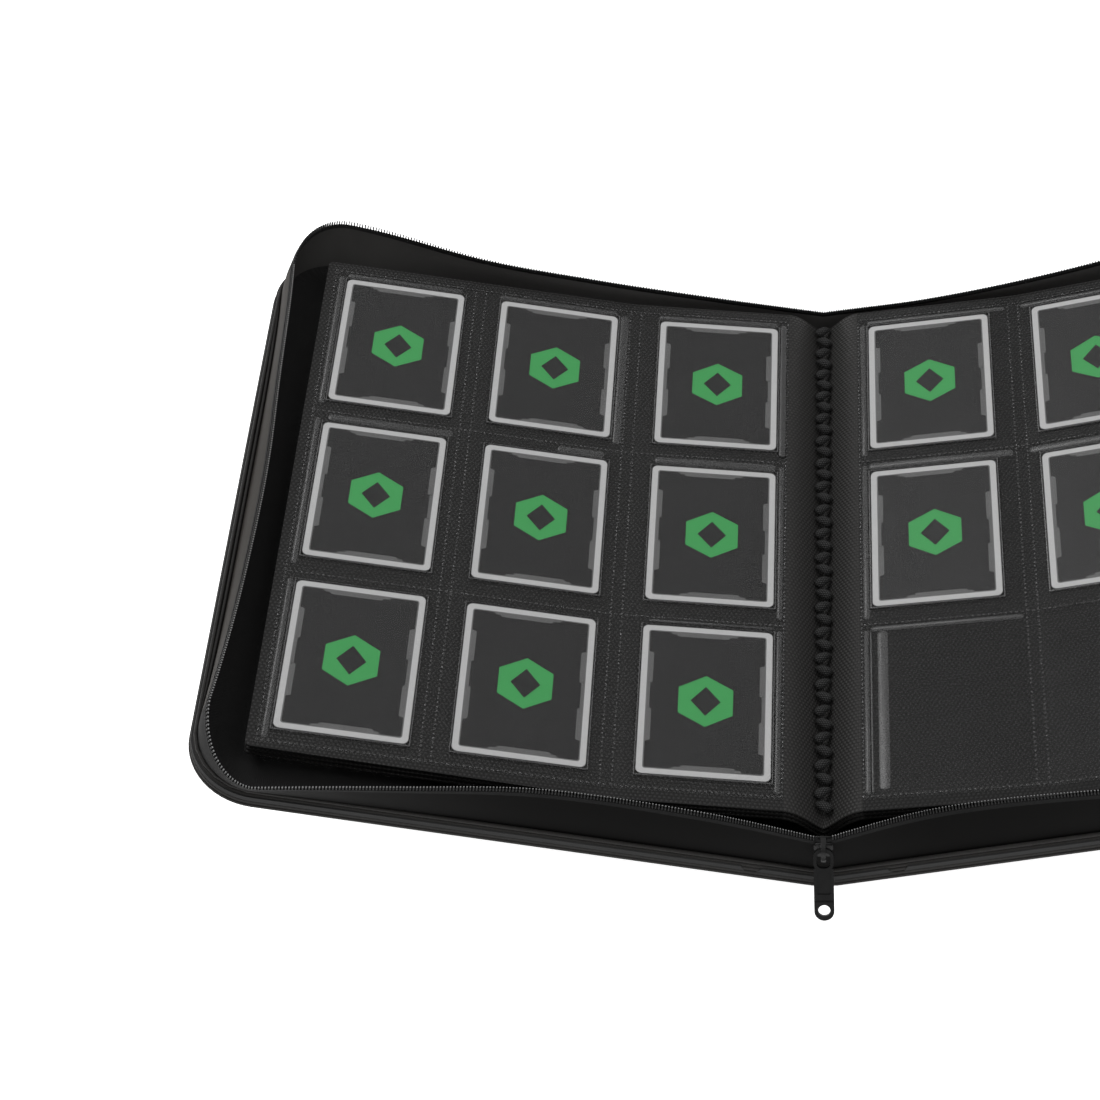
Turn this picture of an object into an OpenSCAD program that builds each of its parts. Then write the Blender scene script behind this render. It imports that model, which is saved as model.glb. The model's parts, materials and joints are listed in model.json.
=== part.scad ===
// Zip-round trading card binder, lying open in a shallow V.
// Origin: middle of the flat strip under the spine. +X to the back cover, +Y to the far end, +Z up.

/* [Covers] */
// Length of a cover from the binder's centre line to its outer edge
cover_reach = 303; // [300:1:320]
// Height of the covers, along the spine
cover_height = 356; // [352:1:370]
// Radius of the covers' outer corners
corner_radius = 34; // [24:1:40]
// How far each cover rises from flat when the binder lies open
cover_tilt = 14.15; // [13:0.05:15]
// Thickness of the leather outer skin
skin_thickness = 1.2; // [1:0.1:1.4]
// Thickness of the stiff board
board_thickness = 2.8; // [2:0.1:3]
// Thickness of the foam padding
padding_thickness = 3; // [2:0.1:3.2]
// Thickness of the fabric lining
lining_thickness = 1.5; // [1:0.1:1.6]

/* [Spine] */
// Distance along the cover from the centre line to each cover's crease
spine_reach = 36.4; // [36:0.1:38]
// Width of the flat strip that the spine rests on
rest_width = 12; // [8:1:14]

/* [Zip gusset] */
// Height of the zip line above a cover's outer face
zip_height = 32.6; // [31:0.1:33]
// Thickness of the gusset wall
gusset_thickness = 1.8; // [1.4:0.1:2]
// Width of a cover's rim, outside the piping
rim_width = 2; // [1.6:0.1:2.4]
// Radius of the piping round a cover's edge
piping_radius = 0.9; // [0.6:0.1:1]
// Width of the zip tape that shows
tape_width = 5; // [4:0.5:6]
// Thickness of the zip tape
tape_thickness = 1.2; // [0.8:0.1:1.4]
// Radius of the row of teeth
teeth_radius = 1.1; // [0.8:0.1:1.2]

/* [Leaves] */
// Height of a leaf, along the spine
leaf_height = 323; // [318:1:325]
// Radius of a leaf's outer corners
leaf_corner = 9; // [8:0.5:9]
// Thickness of a leaf's backing sheet
backing_thickness = 0.8; // [0.6:0.1:0.9]
// Distance from one leaf to the next
leaf_pitch = 3.1; // [3.1:0.05:3.3]
// Number of leaves bound on each side that are modelled
leaves_per_side = 3; // [3:1:3]
// Thickness of the clear pocket film
film_thickness = 0.3; // [0.2:0.05:0.3]

/* [Cards] */
// Width of a card
card_width = 63; // [62:0.5:63]
// Height of a card
card_height = 88; // [86:0.5:88]
// Thickness of a card
card_thickness = 0.35; // [0.3:0.05:0.4]
// Distance between rows of pockets
row_pitch = 104; // [103:0.5:105]

/* [Zip slider] */
// Width of the slider's plates
slider_width = 9; // [8:0.5:10]
// Length of the slider's plates
slider_length = 10.5; // [10.5:0.5:12]
// Length of the pull tab from its pivot to its tip
tab_length = 34.5; // [30:0.5:34.5]
// Width of the pull tab
tab_width = 9; // [8:0.1:9]
// Radius of the hole near the pull tab's tip
tab_hole_radius = 2.8; // [2:0.1:2.9]
// How far the hanging tab slants out from vertical, resting on the padded edge
tab_slant = 33; // [32:1:38]

/* [Hidden] */

$fn = 48;
LEFT = -1;
RIGHT = 1;
eps = 0.01;

// Layers of a cover, as heights above its outer face
board_base = skin_thickness;
padding_base = board_base + board_thickness;
lining_base = padding_base + padding_thickness;
cover_thickness = lining_base + lining_thickness;

// The covers' outer faces meet at a line just below the flat rest strip
rest_drop = rest_width / 2 * tan(cover_tilt);
half_height = cover_height / 2;

// Each cover closes until it stands upright, so both sides of a crease are bevelled by half of that
closing_angle = 76.2;
bevel_angle = closing_angle / 2 + 0.5;
crease_gap = 0.3;
pivot_height = skin_thickness;

// A cover's layers step in from its edge, and the gusset wall stands just inside the piping
board_inset = 2;
padding_inset = 1;
piping_inset = rim_width + piping_radius;
gusset_inset = rim_width + 2 * piping_radius;
gusset_top = zip_height - teeth_radius - tape_width + 1;
gusset_middle = half_height - gusset_inset - gusset_thickness / 2;
tape_top = zip_height - teeth_radius + 0.3;

// Leaf profile: from the shoulder at the gutter outwards, three straight stretches
shoulder = [18, 41];
near_length = 78;
near_slope = 7.3;
bend_length = 10;
bend_slope = 10.2;
far_length = 161;
far_slope = 13.1;
near_end = step(shoulder, near_length, near_slope);
bend_end = step(near_end, bend_length, bend_slope);
leaf_end = step(bend_end, far_length, far_slope);
leaf_profile = [shoulder, near_end, bend_end, leaf_end];
leaf_shift = -1.5;

// Levels inside a leaf, measured from the top face of a card in its pocket
film_base = 0.2;
film_top = film_base + film_thickness;
sleeve_top = 0.1;
sleeve_thickness = 0.8;
sleeve_wall = 0.1;
backing_top = sleeve_top - sleeve_thickness - 0.1;
backing_base = backing_top - backing_thickness;
back_film_base = backing_base - film_thickness;

// Pocket places: columns by distance along the leaf from the shoulder, rows by distance from the middle
columns = [37.5, 123.4, 206.3];
rows = [row_pitch, 0, -row_pitch];
sleeve_width = card_width + 2;
sleeve_height = card_height + 2;
pocket_width = sleeve_width + 5;
pocket_height = sleeve_height + 3;
pocket_rim = 1.5;
card_corner = 3;

// Gutter: the folded sheets dive from the shoulders to the sewn line
fold_thickness = 0.7;
fold_pitch = 3.5;
fold_foot = 1.2;
strip_width = 14;
strip_top = 17;
gutter_floor = strip_top + fold_thickness;
stitch_count = 40;
stitch_radius = 1.9;
stitch_width = 6.8;
stitch_rise = 5.4;
stitch_turn = 30;

// Slider: the plates stand in front of and behind the zip line at the spine's near end
zip_plane = -gusset_middle;
slider_base = 23;
channel_half = 2;
plate_thickness = 1.4;
front_face = zip_plane - channel_half - plate_thickness;
post_width = 1.6;
post_height = 1.4;
bridge_width = 2.4;
bridge_thickness = 1.4;
bridge_clear = 2.6;
bridge_base = slider_base + 0.9;
bridge_length = 9;
tab_thickness = 1.6;
tab_bar_radius = 0.9;
tab_window = 7;
tab_pivot = [front_face - 1.3, slider_base + 7];
tab_hole_from_tip = 5;

// A point a given distance and slope on from another, in the plane across the spine
function step(from, length, slope) = [from[0] + length * cos(slope), from[1] + length * sin(slope)];

// Slope of the leaf at a distance along it from the shoulder
function leaf_slope(along) = along < near_length ? near_slope
    : along < near_length + bend_length ? bend_slope : far_slope;

// Point on the leaf at a distance along it from the shoulder
function leaf_point(along) = along < near_length ? step(shoulder, along, near_slope)
    : along < near_length + bend_length ? step(near_end, along - near_length, bend_slope)
    : step(bend_end, along - near_length - bend_length, far_slope);

// The leaf profile moved up by a height, so that each of its stretches stays parallel
function leaf_line(height) = [for (i = [0 : 3])
    let (before = [near_slope, near_slope, bend_slope, far_slope][i],
         after = [near_slope, bend_slope, far_slope, far_slope][i],
         slope = (before + after) / 2)
    leaf_profile[i] + height / cos((after - before) / 2) * [-sin(slope), cos(slope)]];

function reversed(list) = [for (i = [len(list) - 1 : -1 : 0]) list[i]];

// Height above a leaf level of leaf number n, counted down from the top one
function level(n, height) = height - (n - 1) * leaf_pitch;

// Mirrors its children for the front cover's side
module on_side(side) {
    if (side == LEFT)
        mirror([1, 0, 0]) children();
    else
        children();
}

// Places children drawn in a cover's own frame: X along the cover, Z up from its outer face
module on_cover() {
    translate([0, 0, -rest_drop])
        rotate([0, -cover_tilt, 0])
            children();
}

// Extrudes a profile drawn across the spine, from one Y to another
module along_spine(from, to) {
    translate([0, to, 0])
        rotate([90, 0, 0])
            linear_extrude(height = to - from)
                children();
}

// ---- Covers ----

// Outline of a cover, inset from its edge, running past the centre line
module cover_outline(inset) {
    radius = corner_radius - inset;
    edge_x = cover_reach - inset;
    edge_y = half_height - inset;
    difference() {
        union() {
            translate([0, -edge_y]) square([edge_x - radius, 2 * edge_y]);
            translate([0, -edge_y + radius]) square([edge_x, 2 * (edge_y - radius)]);
            for (y = [-1, 1])
                translate([edge_x - radius, y * (edge_y - radius)]) circle(radius, $fn = 96);
        }
        translate([-1, -half_height]) square([spine_reach + crease_gap + 1, cover_height]);
    }
}

// The wedge that a crease needs clear on the cover's side
module crease_wedge() {
    reach = 60;
    along_spine(-half_height - 5, half_height + 5)
        polygon([[spine_reach + crease_gap, pivot_height], [spine_reach - 5, pivot_height],
                 [spine_reach - 5, reach], [spine_reach + crease_gap + (reach - pivot_height)
                 * tan(bevel_angle), reach]]);
}

// One layer of a cover, between two heights above its outer face
module cover_layer(side, inset, base, top) {
    on_side(side) on_cover() difference() {
        translate([0, 0, base]) linear_extrude(height = top - base) cover_outline(inset);
        if (top > pivot_height) crease_wedge();
    }
}

module cover_skin(side) {
    color("#1d1d1f") cover_layer(side, 0, 0, skin_thickness);
}

module cover_board(side) {
    color("#8a7a62") cover_layer(side, board_inset, board_base, padding_base);
}

module cover_padding(side) {
    color("#3a3a3c") cover_layer(side, padding_inset, padding_base, lining_base);
}

module cover_lining(side) {
    color("#151516") cover_layer(side, rim_width, lining_base, cover_thickness);
}

// Cord of piping round the foot of the gusset wall
module cover_piping(side) {
    radius = corner_radius - piping_inset;
    edge_x = cover_reach - piping_inset;
    edge_y = half_height - piping_inset;
    color("#242426") on_side(side) on_cover() difference() {
        translate([0, 0, cover_thickness + piping_radius]) union() {
            for (y = [-1, 1]) {
                translate([spine_reach, y * edge_y, 0]) rotate([0, 90, 0])
                    cylinder(h = edge_x - radius - spine_reach, r = piping_radius, $fn = 24);
                translate([edge_x - radius, y * (edge_y - radius), 0])
                    rotate([0, 0, y > 0 ? 0 : -90])
                        rotate_extrude(angle = 90, $fn = 96)
                            translate([radius, 0]) circle(piping_radius, $fn = 24);
            }
            translate([edge_x, -edge_y + radius, 0]) rotate([-90, 0, 0])
                cylinder(h = 2 * (edge_y - radius), r = piping_radius, $fn = 24);
        }
        crease_wedge();
    }
}

// Band that follows the cover's edge: its middle line is inset, and it stands between two heights
module edge_band(inset, thickness, base, top) {
    outer = inset - thickness / 2;
    translate([0, 0, base]) linear_extrude(height = top - base) difference() {
        cover_outline(outer);
        difference() {
            cover_outline(outer + thickness);
            translate([cover_reach, -half_height]) square([1, cover_height]);
        }
        translate([-1, -half_height + outer + thickness])
            square([spine_reach + 5, cover_height - 2 * (outer + thickness)]);
    }
}

wall_inset = gusset_inset + gusset_thickness / 2;

// Part of the gusset wall: the near or far run with its corner, or the outer run between them
module cover_gusset(side, part) {
    run_end = half_height - corner_radius;
    color("#1f1f21") on_side(side) on_cover() difference() {
        intersection() {
            edge_band(wall_inset, gusset_thickness, cover_thickness, gusset_top);
            translate([0, part == "near" ? -half_height - 1 : part == "far" ? run_end : -run_end, 0])
                cube([cover_reach + 1, part == "outer" ? 2 * run_end : corner_radius + 1, 60]);
        }
        crease_wedge();
    }
}

module cover_zip_tape(side) {
    color("#101011") on_side(side) on_cover() difference() {
        edge_band(wall_inset, tape_thickness, gusset_top, tape_top);
        crease_wedge();
    }
}

module cover_zip_teeth(side) {
    color("#3c3c3f") on_side(side) on_cover() difference() {
        edge_band(wall_inset, 2 * teeth_radius, tape_top, tape_top + 2 * teeth_radius - 0.4);
        crease_wedge();
    }
}

// ---- Spine ----

// Half of the spine's cross-section between two heights, ending in the crease's bevel
function spine_corner(height) = let (
    along = spine_reach - crease_gap - max(0, height - pivot_height) * tan(bevel_angle))
    [along * cos(cover_tilt) - height * sin(cover_tilt),
     along * sin(cover_tilt) + height * cos(cover_tilt) - rest_drop];

function spine_middle(height) = [rest_width / 2 - height * tan(cover_tilt / 2), height];

module spine_layer(base, top, inset) {
    pivot = [spine_corner(base), spine_corner(min(max(base, pivot_height), top)), spine_corner(top)];
    half = [spine_middle(base), pivot[0], pivot[1], pivot[2], spine_middle(top)];
    along_spine(-half_height + inset, half_height - inset)
        polygon(concat(half, [for (p = reversed(half)) [-p[0], p[1]]]));
}

module spine_skin() {
    color("#1d1d1f") spine_layer(0, skin_thickness, 0);
}

module spine_board() {
    color("#8a7a62") spine_layer(board_base, padding_base, board_inset);
}

module spine_padding() {
    color("#3a3a3c") spine_layer(padding_base, lining_base, padding_inset);
}

module spine_lining() {
    color("#151516") spine_layer(lining_base, cover_thickness, rim_width);
}

// Strip standing on the spine that the folded sheets are sewn to
module binding_strip() {
    foot = 2 * strip_width / 3;
    color("#1a1a1c") along_spine(-leaf_height / 2, leaf_height / 2)
        polygon([[-strip_width / 2, strip_foot(strip_width / 2)], [-spine_middle(cover_thickness)[0],
                  cover_thickness], [spine_middle(cover_thickness)[0], cover_thickness],
                 [strip_width / 2, strip_foot(strip_width / 2)], [foot / 2, strip_top],
                 [-foot / 2, strip_top]]);
}

// Height of the spine's lining at a distance from the centre line
function strip_foot(x) = x * tan(cover_tilt) + cover_thickness / cos(cover_tilt) - rest_drop;

// One folded sheet of the gutter, the n-th counted down: a thin V with a narrow flat foot
module gutter_fold(n) {
    top = [shoulder[0] - 0.8, shoulder[1] + level(n, backing_top) - 0.4];
    foot = [fold_foot, gutter_floor + (leaves_per_side - n) * fold_pitch];
    line = [foot, top];
    outer = concat([for (p = reversed(line)) [-p[0], p[1]]], line);
    under = [for (p = reversed(outer)) [p[0] + sign(p[0]) * 0.35, p[1] - fold_thickness]];
    along_spine(-leaf_height / 2, leaf_height / 2) polygon(concat(outer, under));
}

module gutter_folds() {
    color("#2a2a2c") for (n = [1 : leaves_per_side]) gutter_fold(n);
}

// Lace sewn down the gutter: its stitches slant to alternate sides
module binding_stitch() {
    floor_z = gutter_floor + (leaves_per_side - 1) * fold_pitch + stitch_rise;
    pitch = leaf_height / stitch_count;
    color("#0c0c0d") for (i = [0 : stitch_count - 1])
        translate([0, -leaf_height / 2 + (i + 0.5) * pitch, floor_z])
            rotate([0, 90, i % 2 == 0 ? stitch_turn : -stitch_turn])
                cylinder(h = stitch_width, r = stitch_radius, center = true, $fn = 16);
}

// Triangular end of the gusset over the spine, between the two creases' bevels
module spine_gusset(end) {
    top = gusset_top;
    color("#1f1f21") translate([0, end * gusset_middle, 0])
        along_spine(-gusset_thickness / 2, gusset_thickness / 2)
            polygon(concat(spine_wall_half(cover_thickness, top),
                [for (p = reversed(spine_wall_half(cover_thickness, top))) [-p[0], p[1]]]));
}

// Right-hand half of the spine wall's outline: lining's middle, lining at the crease, then up the bevel
bevel_slope = 90 - cover_tilt - bevel_angle;
function spine_wall_half(base, top) = let (foot = spine_corner(base))
    [spine_middle(base), foot, [foot[0] - (top - foot[1]) / tan(bevel_slope), top]];

// Last stretch of tape and teeth, with its metal end stop, at one end of the spine
module zip_end(end) {
    foot = spine_corner(cover_thickness);
    base_half = foot[0] - (gusset_top - foot[1]) / tan(bevel_slope);
    top_half = foot[0] - (tape_top - foot[1]) / tan(bevel_slope);
    color("#101011") translate([0, end * gusset_middle, 0])
        along_spine(-tape_thickness / 2, tape_thickness / 2)
            polygon([[-base_half, gusset_top], [base_half, gusset_top], [top_half, tape_top],
                     [-top_half, tape_top]]);
}

// ---- Leaves ----

// Upright block with a leaf's outline, rounded at its outer corners
module leaf_block(reach) {
    edge_y = leaf_height / 2;
    linear_extrude(height = 2 * shoulder[1] + leaf_end[1]) union() {
        translate([0, -edge_y]) square([reach - leaf_corner, leaf_height]);
        translate([0, -edge_y + leaf_corner]) square([reach, leaf_height - 2 * leaf_corner]);
        for (y = [-1, 1])
            translate([reach - leaf_corner, y * (edge_y - leaf_corner)]) circle(leaf_corner);
    }
}

// A sheet that follows the leaf, between two heights above the card level
module leaf_sheet(side, base, top) {
    on_side(side) translate([0, leaf_shift, 0]) intersection() {
        along_spine(-leaf_height / 2, leaf_height / 2)
            polygon(concat(leaf_line(base), reversed(leaf_line(top))));
        leaf_block(leaf_line(base)[3][0]);
    }
}

// Places children at a pocket: X outwards along the leaf, Y along the spine, Z up from the card level
module at_pocket(side, column, row, n) {
    slope = leaf_slope(columns[column]);
    point = leaf_point(columns[column]);
    on_side(side) translate([point[0], rows[row], point[1]])
        rotate([0, -slope, 0])
            translate([0, 0, -(n - 1) * leaf_pitch])
                children();
}

module leaf_backing(side, n) {
    color("#2d2d2f") leaf_sheet(side, level(n, backing_base), level(n, backing_top));
}

// Clear pocket welded to the backing on three sides, with its mouth towards the spine
module raised_pocket() {
    outer = [pocket_width, pocket_height + 2 * pocket_rim, film_top - backing_top];
    difference() {
        translate([-outer[0] / 2, -outer[1] / 2, backing_top]) cube(outer);
        translate([-outer[0] / 2 - 1, -pocket_height / 2, backing_top - 1])
            cube([outer[0] + 1 - pocket_rim, pocket_height, film_base - backing_top + 1]);
    }
}

module raised_pockets(side, n) {
    color([0.6, 0.62, 0.65, 0.35]) for (column = [0 : 2]) for (row = [0 : 2])
        at_pocket(side, column, row, n) raised_pocket();
}

// Empty pockets lie flat: one strip of film for each column, on one face of the leaf
module flat_pockets(side, n, base) {
    color([0.6, 0.62, 0.65, 0.35]) for (column = [0 : 2])
        at_pocket(side, column, 1, n)
            translate([-pocket_width / 2, -leaf_height / 2 + leaf_shift + 1, base])
                cube([pocket_width, leaf_height - 2, film_thickness]);
}

module leaf_pockets_both(side, n) {
    flat_pockets(side, n, backing_top);
    flat_pockets(side, n, back_film_base);
}

// ---- Cards ----

module card() {
    inner_w = card_width - 2 * card_corner;
    inner_h = card_height - 2 * card_corner;
    translate([0, 0, -card_thickness]) linear_extrude(height = card_thickness) union() {
        square([card_width, inner_h], center = true);
        square([inner_w, card_height], center = true);
        for (x = [-1, 1]) for (y = [-1, 1])
            translate([x * inner_w / 2, y * inner_h / 2]) circle(card_corner, $fn = 32);
    }
}

// Clear sleeve round a card, open at the far end
module sleeve() {
    base = sleeve_top - sleeve_thickness;
    difference() {
        translate([-sleeve_width / 2, -sleeve_height / 2, base])
            cube([sleeve_width, sleeve_height, sleeve_thickness]);
        translate([-sleeve_width / 2 + 0.6, -sleeve_height / 2 + 0.6, base + sleeve_wall])
            cube([sleeve_width - 1.2, sleeve_height, sleeve_thickness - 2 * sleeve_wall]);
    }
}

// Pockets of the left page that hold a card, apart from the one whose card slides
left_full = [for (column = [0 : 2]) for (row = [0 : 2]) if (!(column == 0 && row == 0)) [column, row]];
// Pockets of the right page that hold a card: its bottom row is empty
right_full = [for (column = [0 : 2]) for (row = [0 : 1]) [column, row]];

module page_cards(side, places) {
    color("#4a4a4c") for (place = places) at_pocket(side, place[0], place[1], 1) card();
}

module page_sleeves(side, places) {
    color([0.8, 0.8, 0.82, 0.3]) for (place = places) at_pocket(side, place[0], place[1], 1) sleeve();
}

// ---- Slider and pull tab ----

// Outline of a slider plate: wide shoulders above, narrower below
module slider_outline() {
    round = 2;
    low = slider_width / 2 - 1.2;
    high = slider_width / 2;
    union() {
        translate([-low, 0]) square([2 * low, slider_length / 2]);
        translate([-high, slider_length / 2 - 1]) square([2 * high, slider_length / 2 - round + 1]);
        translate([-high + round, slider_length - round - eps]) square([2 * (high - round), round + eps]);
        for (x = [-1, 1])
            translate([x * (high - round), slider_length - round]) circle(round, $fn = 32);
    }
}

module slider_body() {
    front = zip_plane - channel_half;
    back = zip_plane + channel_half;
    color("#161617") translate([0, 0, slider_base]) union() {
        along_spine(front - plate_thickness, front) slider_outline();
        along_spine(back, back + plate_thickness) slider_outline();
        translate([-post_width / 2, front - eps, slider_length - post_height])
            cube([post_width, 2 * channel_half + 2 * eps, post_height]);
    }
}

// Loop on the slider's front plate that the pull tab hangs from
module slider_bridge() {
    depth = bridge_clear + bridge_thickness;
    color("#161617") translate([-bridge_width / 2, front_face - depth, bridge_base]) difference() {
        cube([bridge_width, depth, bridge_length]);
        translate([-1, bridge_thickness, bridge_thickness])
            cube([bridge_width + 2, depth, bridge_length - 2 * bridge_thickness]);
    }
}

// Flat tab with a window at the top, whose cross bar turns under the bridge, and a hole near its tip
module pull_tab() {
    side_bar = (tab_width - bridge_width) / 2 - 0.9;
    tip_radius = tab_width / 2;
    color("#161617") translate([0, tab_pivot[0], tab_pivot[1]])
        rotate([-tab_slant, 0, 0]) union() {
            rotate([0, 90, 0]) cylinder(h = tab_width, r = tab_bar_radius, center = true, $fn = 32);
            for (x = [-1, 1])
                translate([x * (tab_width - side_bar) / 2 - side_bar / 2, -tab_thickness / 2, -tab_window - 1])
                    cube([side_bar, tab_thickness, tab_window + 1]);
            difference() {
                translate([0, tab_thickness / 2, 0]) rotate([90, 0, 0])
                    linear_extrude(height = tab_thickness) union() {
                        translate([-tab_width / 2, -tab_length + tip_radius])
                            square([tab_width, tab_length - tip_radius - tab_window]);
                        translate([0, -tab_length + tip_radius]) circle(tip_radius, $fn = 48);
                    }
                translate([0, 0, -tab_length + tab_hole_from_tip]) rotate([90, 0, 0])
                    cylinder(h = tab_thickness + 2, r = tab_hole_radius, center = true, $fn = 48);
            }
        }
}

spine_skin();
spine_board();
spine_padding();
spine_lining();
binding_strip();
gutter_folds();
binding_stitch();
spine_gusset(-1);  // spine_gusset_near
spine_gusset(1);  // spine_gusset_far
zip_end(-1);  // zip_end_near
zip_end(1);  // zip_end_far
cover_skin(LEFT);  // front_skin
cover_board(LEFT);  // front_board
cover_padding(LEFT);  // front_padding
cover_lining(LEFT);  // front_lining
cover_piping(LEFT);  // front_piping
cover_gusset(LEFT, "near");  // front_gusset_near
cover_gusset(LEFT, "outer");  // front_gusset_outer
cover_gusset(LEFT, "far");  // front_gusset_far
cover_zip_tape(LEFT);  // front_zip_tape
cover_zip_teeth(LEFT);  // front_zip_teeth
cover_skin(RIGHT);  // back_skin
cover_board(RIGHT);  // back_board
cover_padding(RIGHT);  // back_padding
cover_lining(RIGHT);  // back_lining
cover_piping(RIGHT);  // back_piping
cover_gusset(RIGHT, "near");  // back_gusset_near
cover_gusset(RIGHT, "outer");  // back_gusset_outer
cover_gusset(RIGHT, "far");  // back_gusset_far
cover_zip_tape(RIGHT);  // back_zip_tape
cover_zip_teeth(RIGHT);  // back_zip_teeth
leaf_backing(LEFT, 1);  // turning_leaf
raised_pockets(LEFT, 1);  // turning_leaf_front_pockets
flat_pockets(LEFT, 1, back_film_base);  // turning_leaf_back_pockets
page_cards(LEFT, left_full);  // left_page_cards
page_sleeves(LEFT, left_full);  // left_page_sleeves
page_cards(LEFT, [[0, 0]]);  // loose_card
page_sleeves(LEFT, [[0, 0]]);  // loose_card_sleeve
leaf_backing(LEFT, 2);  // left_leaf_2
leaf_pockets_both(LEFT, 2);  // left_leaf_2_pockets
leaf_backing(LEFT, 3);  // left_leaf_3
leaf_pockets_both(LEFT, 3);  // left_leaf_3_pockets
leaf_backing(RIGHT, 1);  // right_leaf_1
raised_pockets(RIGHT, 1);  // right_leaf_1_front_pockets
flat_pockets(RIGHT, 1, back_film_base);  // right_leaf_1_back_pockets
page_cards(RIGHT, right_full);  // right_page_cards
page_sleeves(RIGHT, right_full);  // right_page_sleeves
leaf_backing(RIGHT, 2);  // right_leaf_2
leaf_pockets_both(RIGHT, 2);  // right_leaf_2_pockets
leaf_backing(RIGHT, 3);  // right_leaf_3
leaf_pockets_both(RIGHT, 3);  // right_leaf_3_pockets
slider_body();
slider_bridge();
pull_tab();
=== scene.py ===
"""Looks of a zip-round trading card binder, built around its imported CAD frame.

Sizes are in millimetres until a mesh is made. A cover's own frame runs out from the binder's
centre line (u), along the spine (y) and up from the cover's outer face (w). A leaf's own frame
runs out from its shoulder at the gutter (s), along the spine (y) and up from its cards' faces (h).
"""
import json
import math

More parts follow.
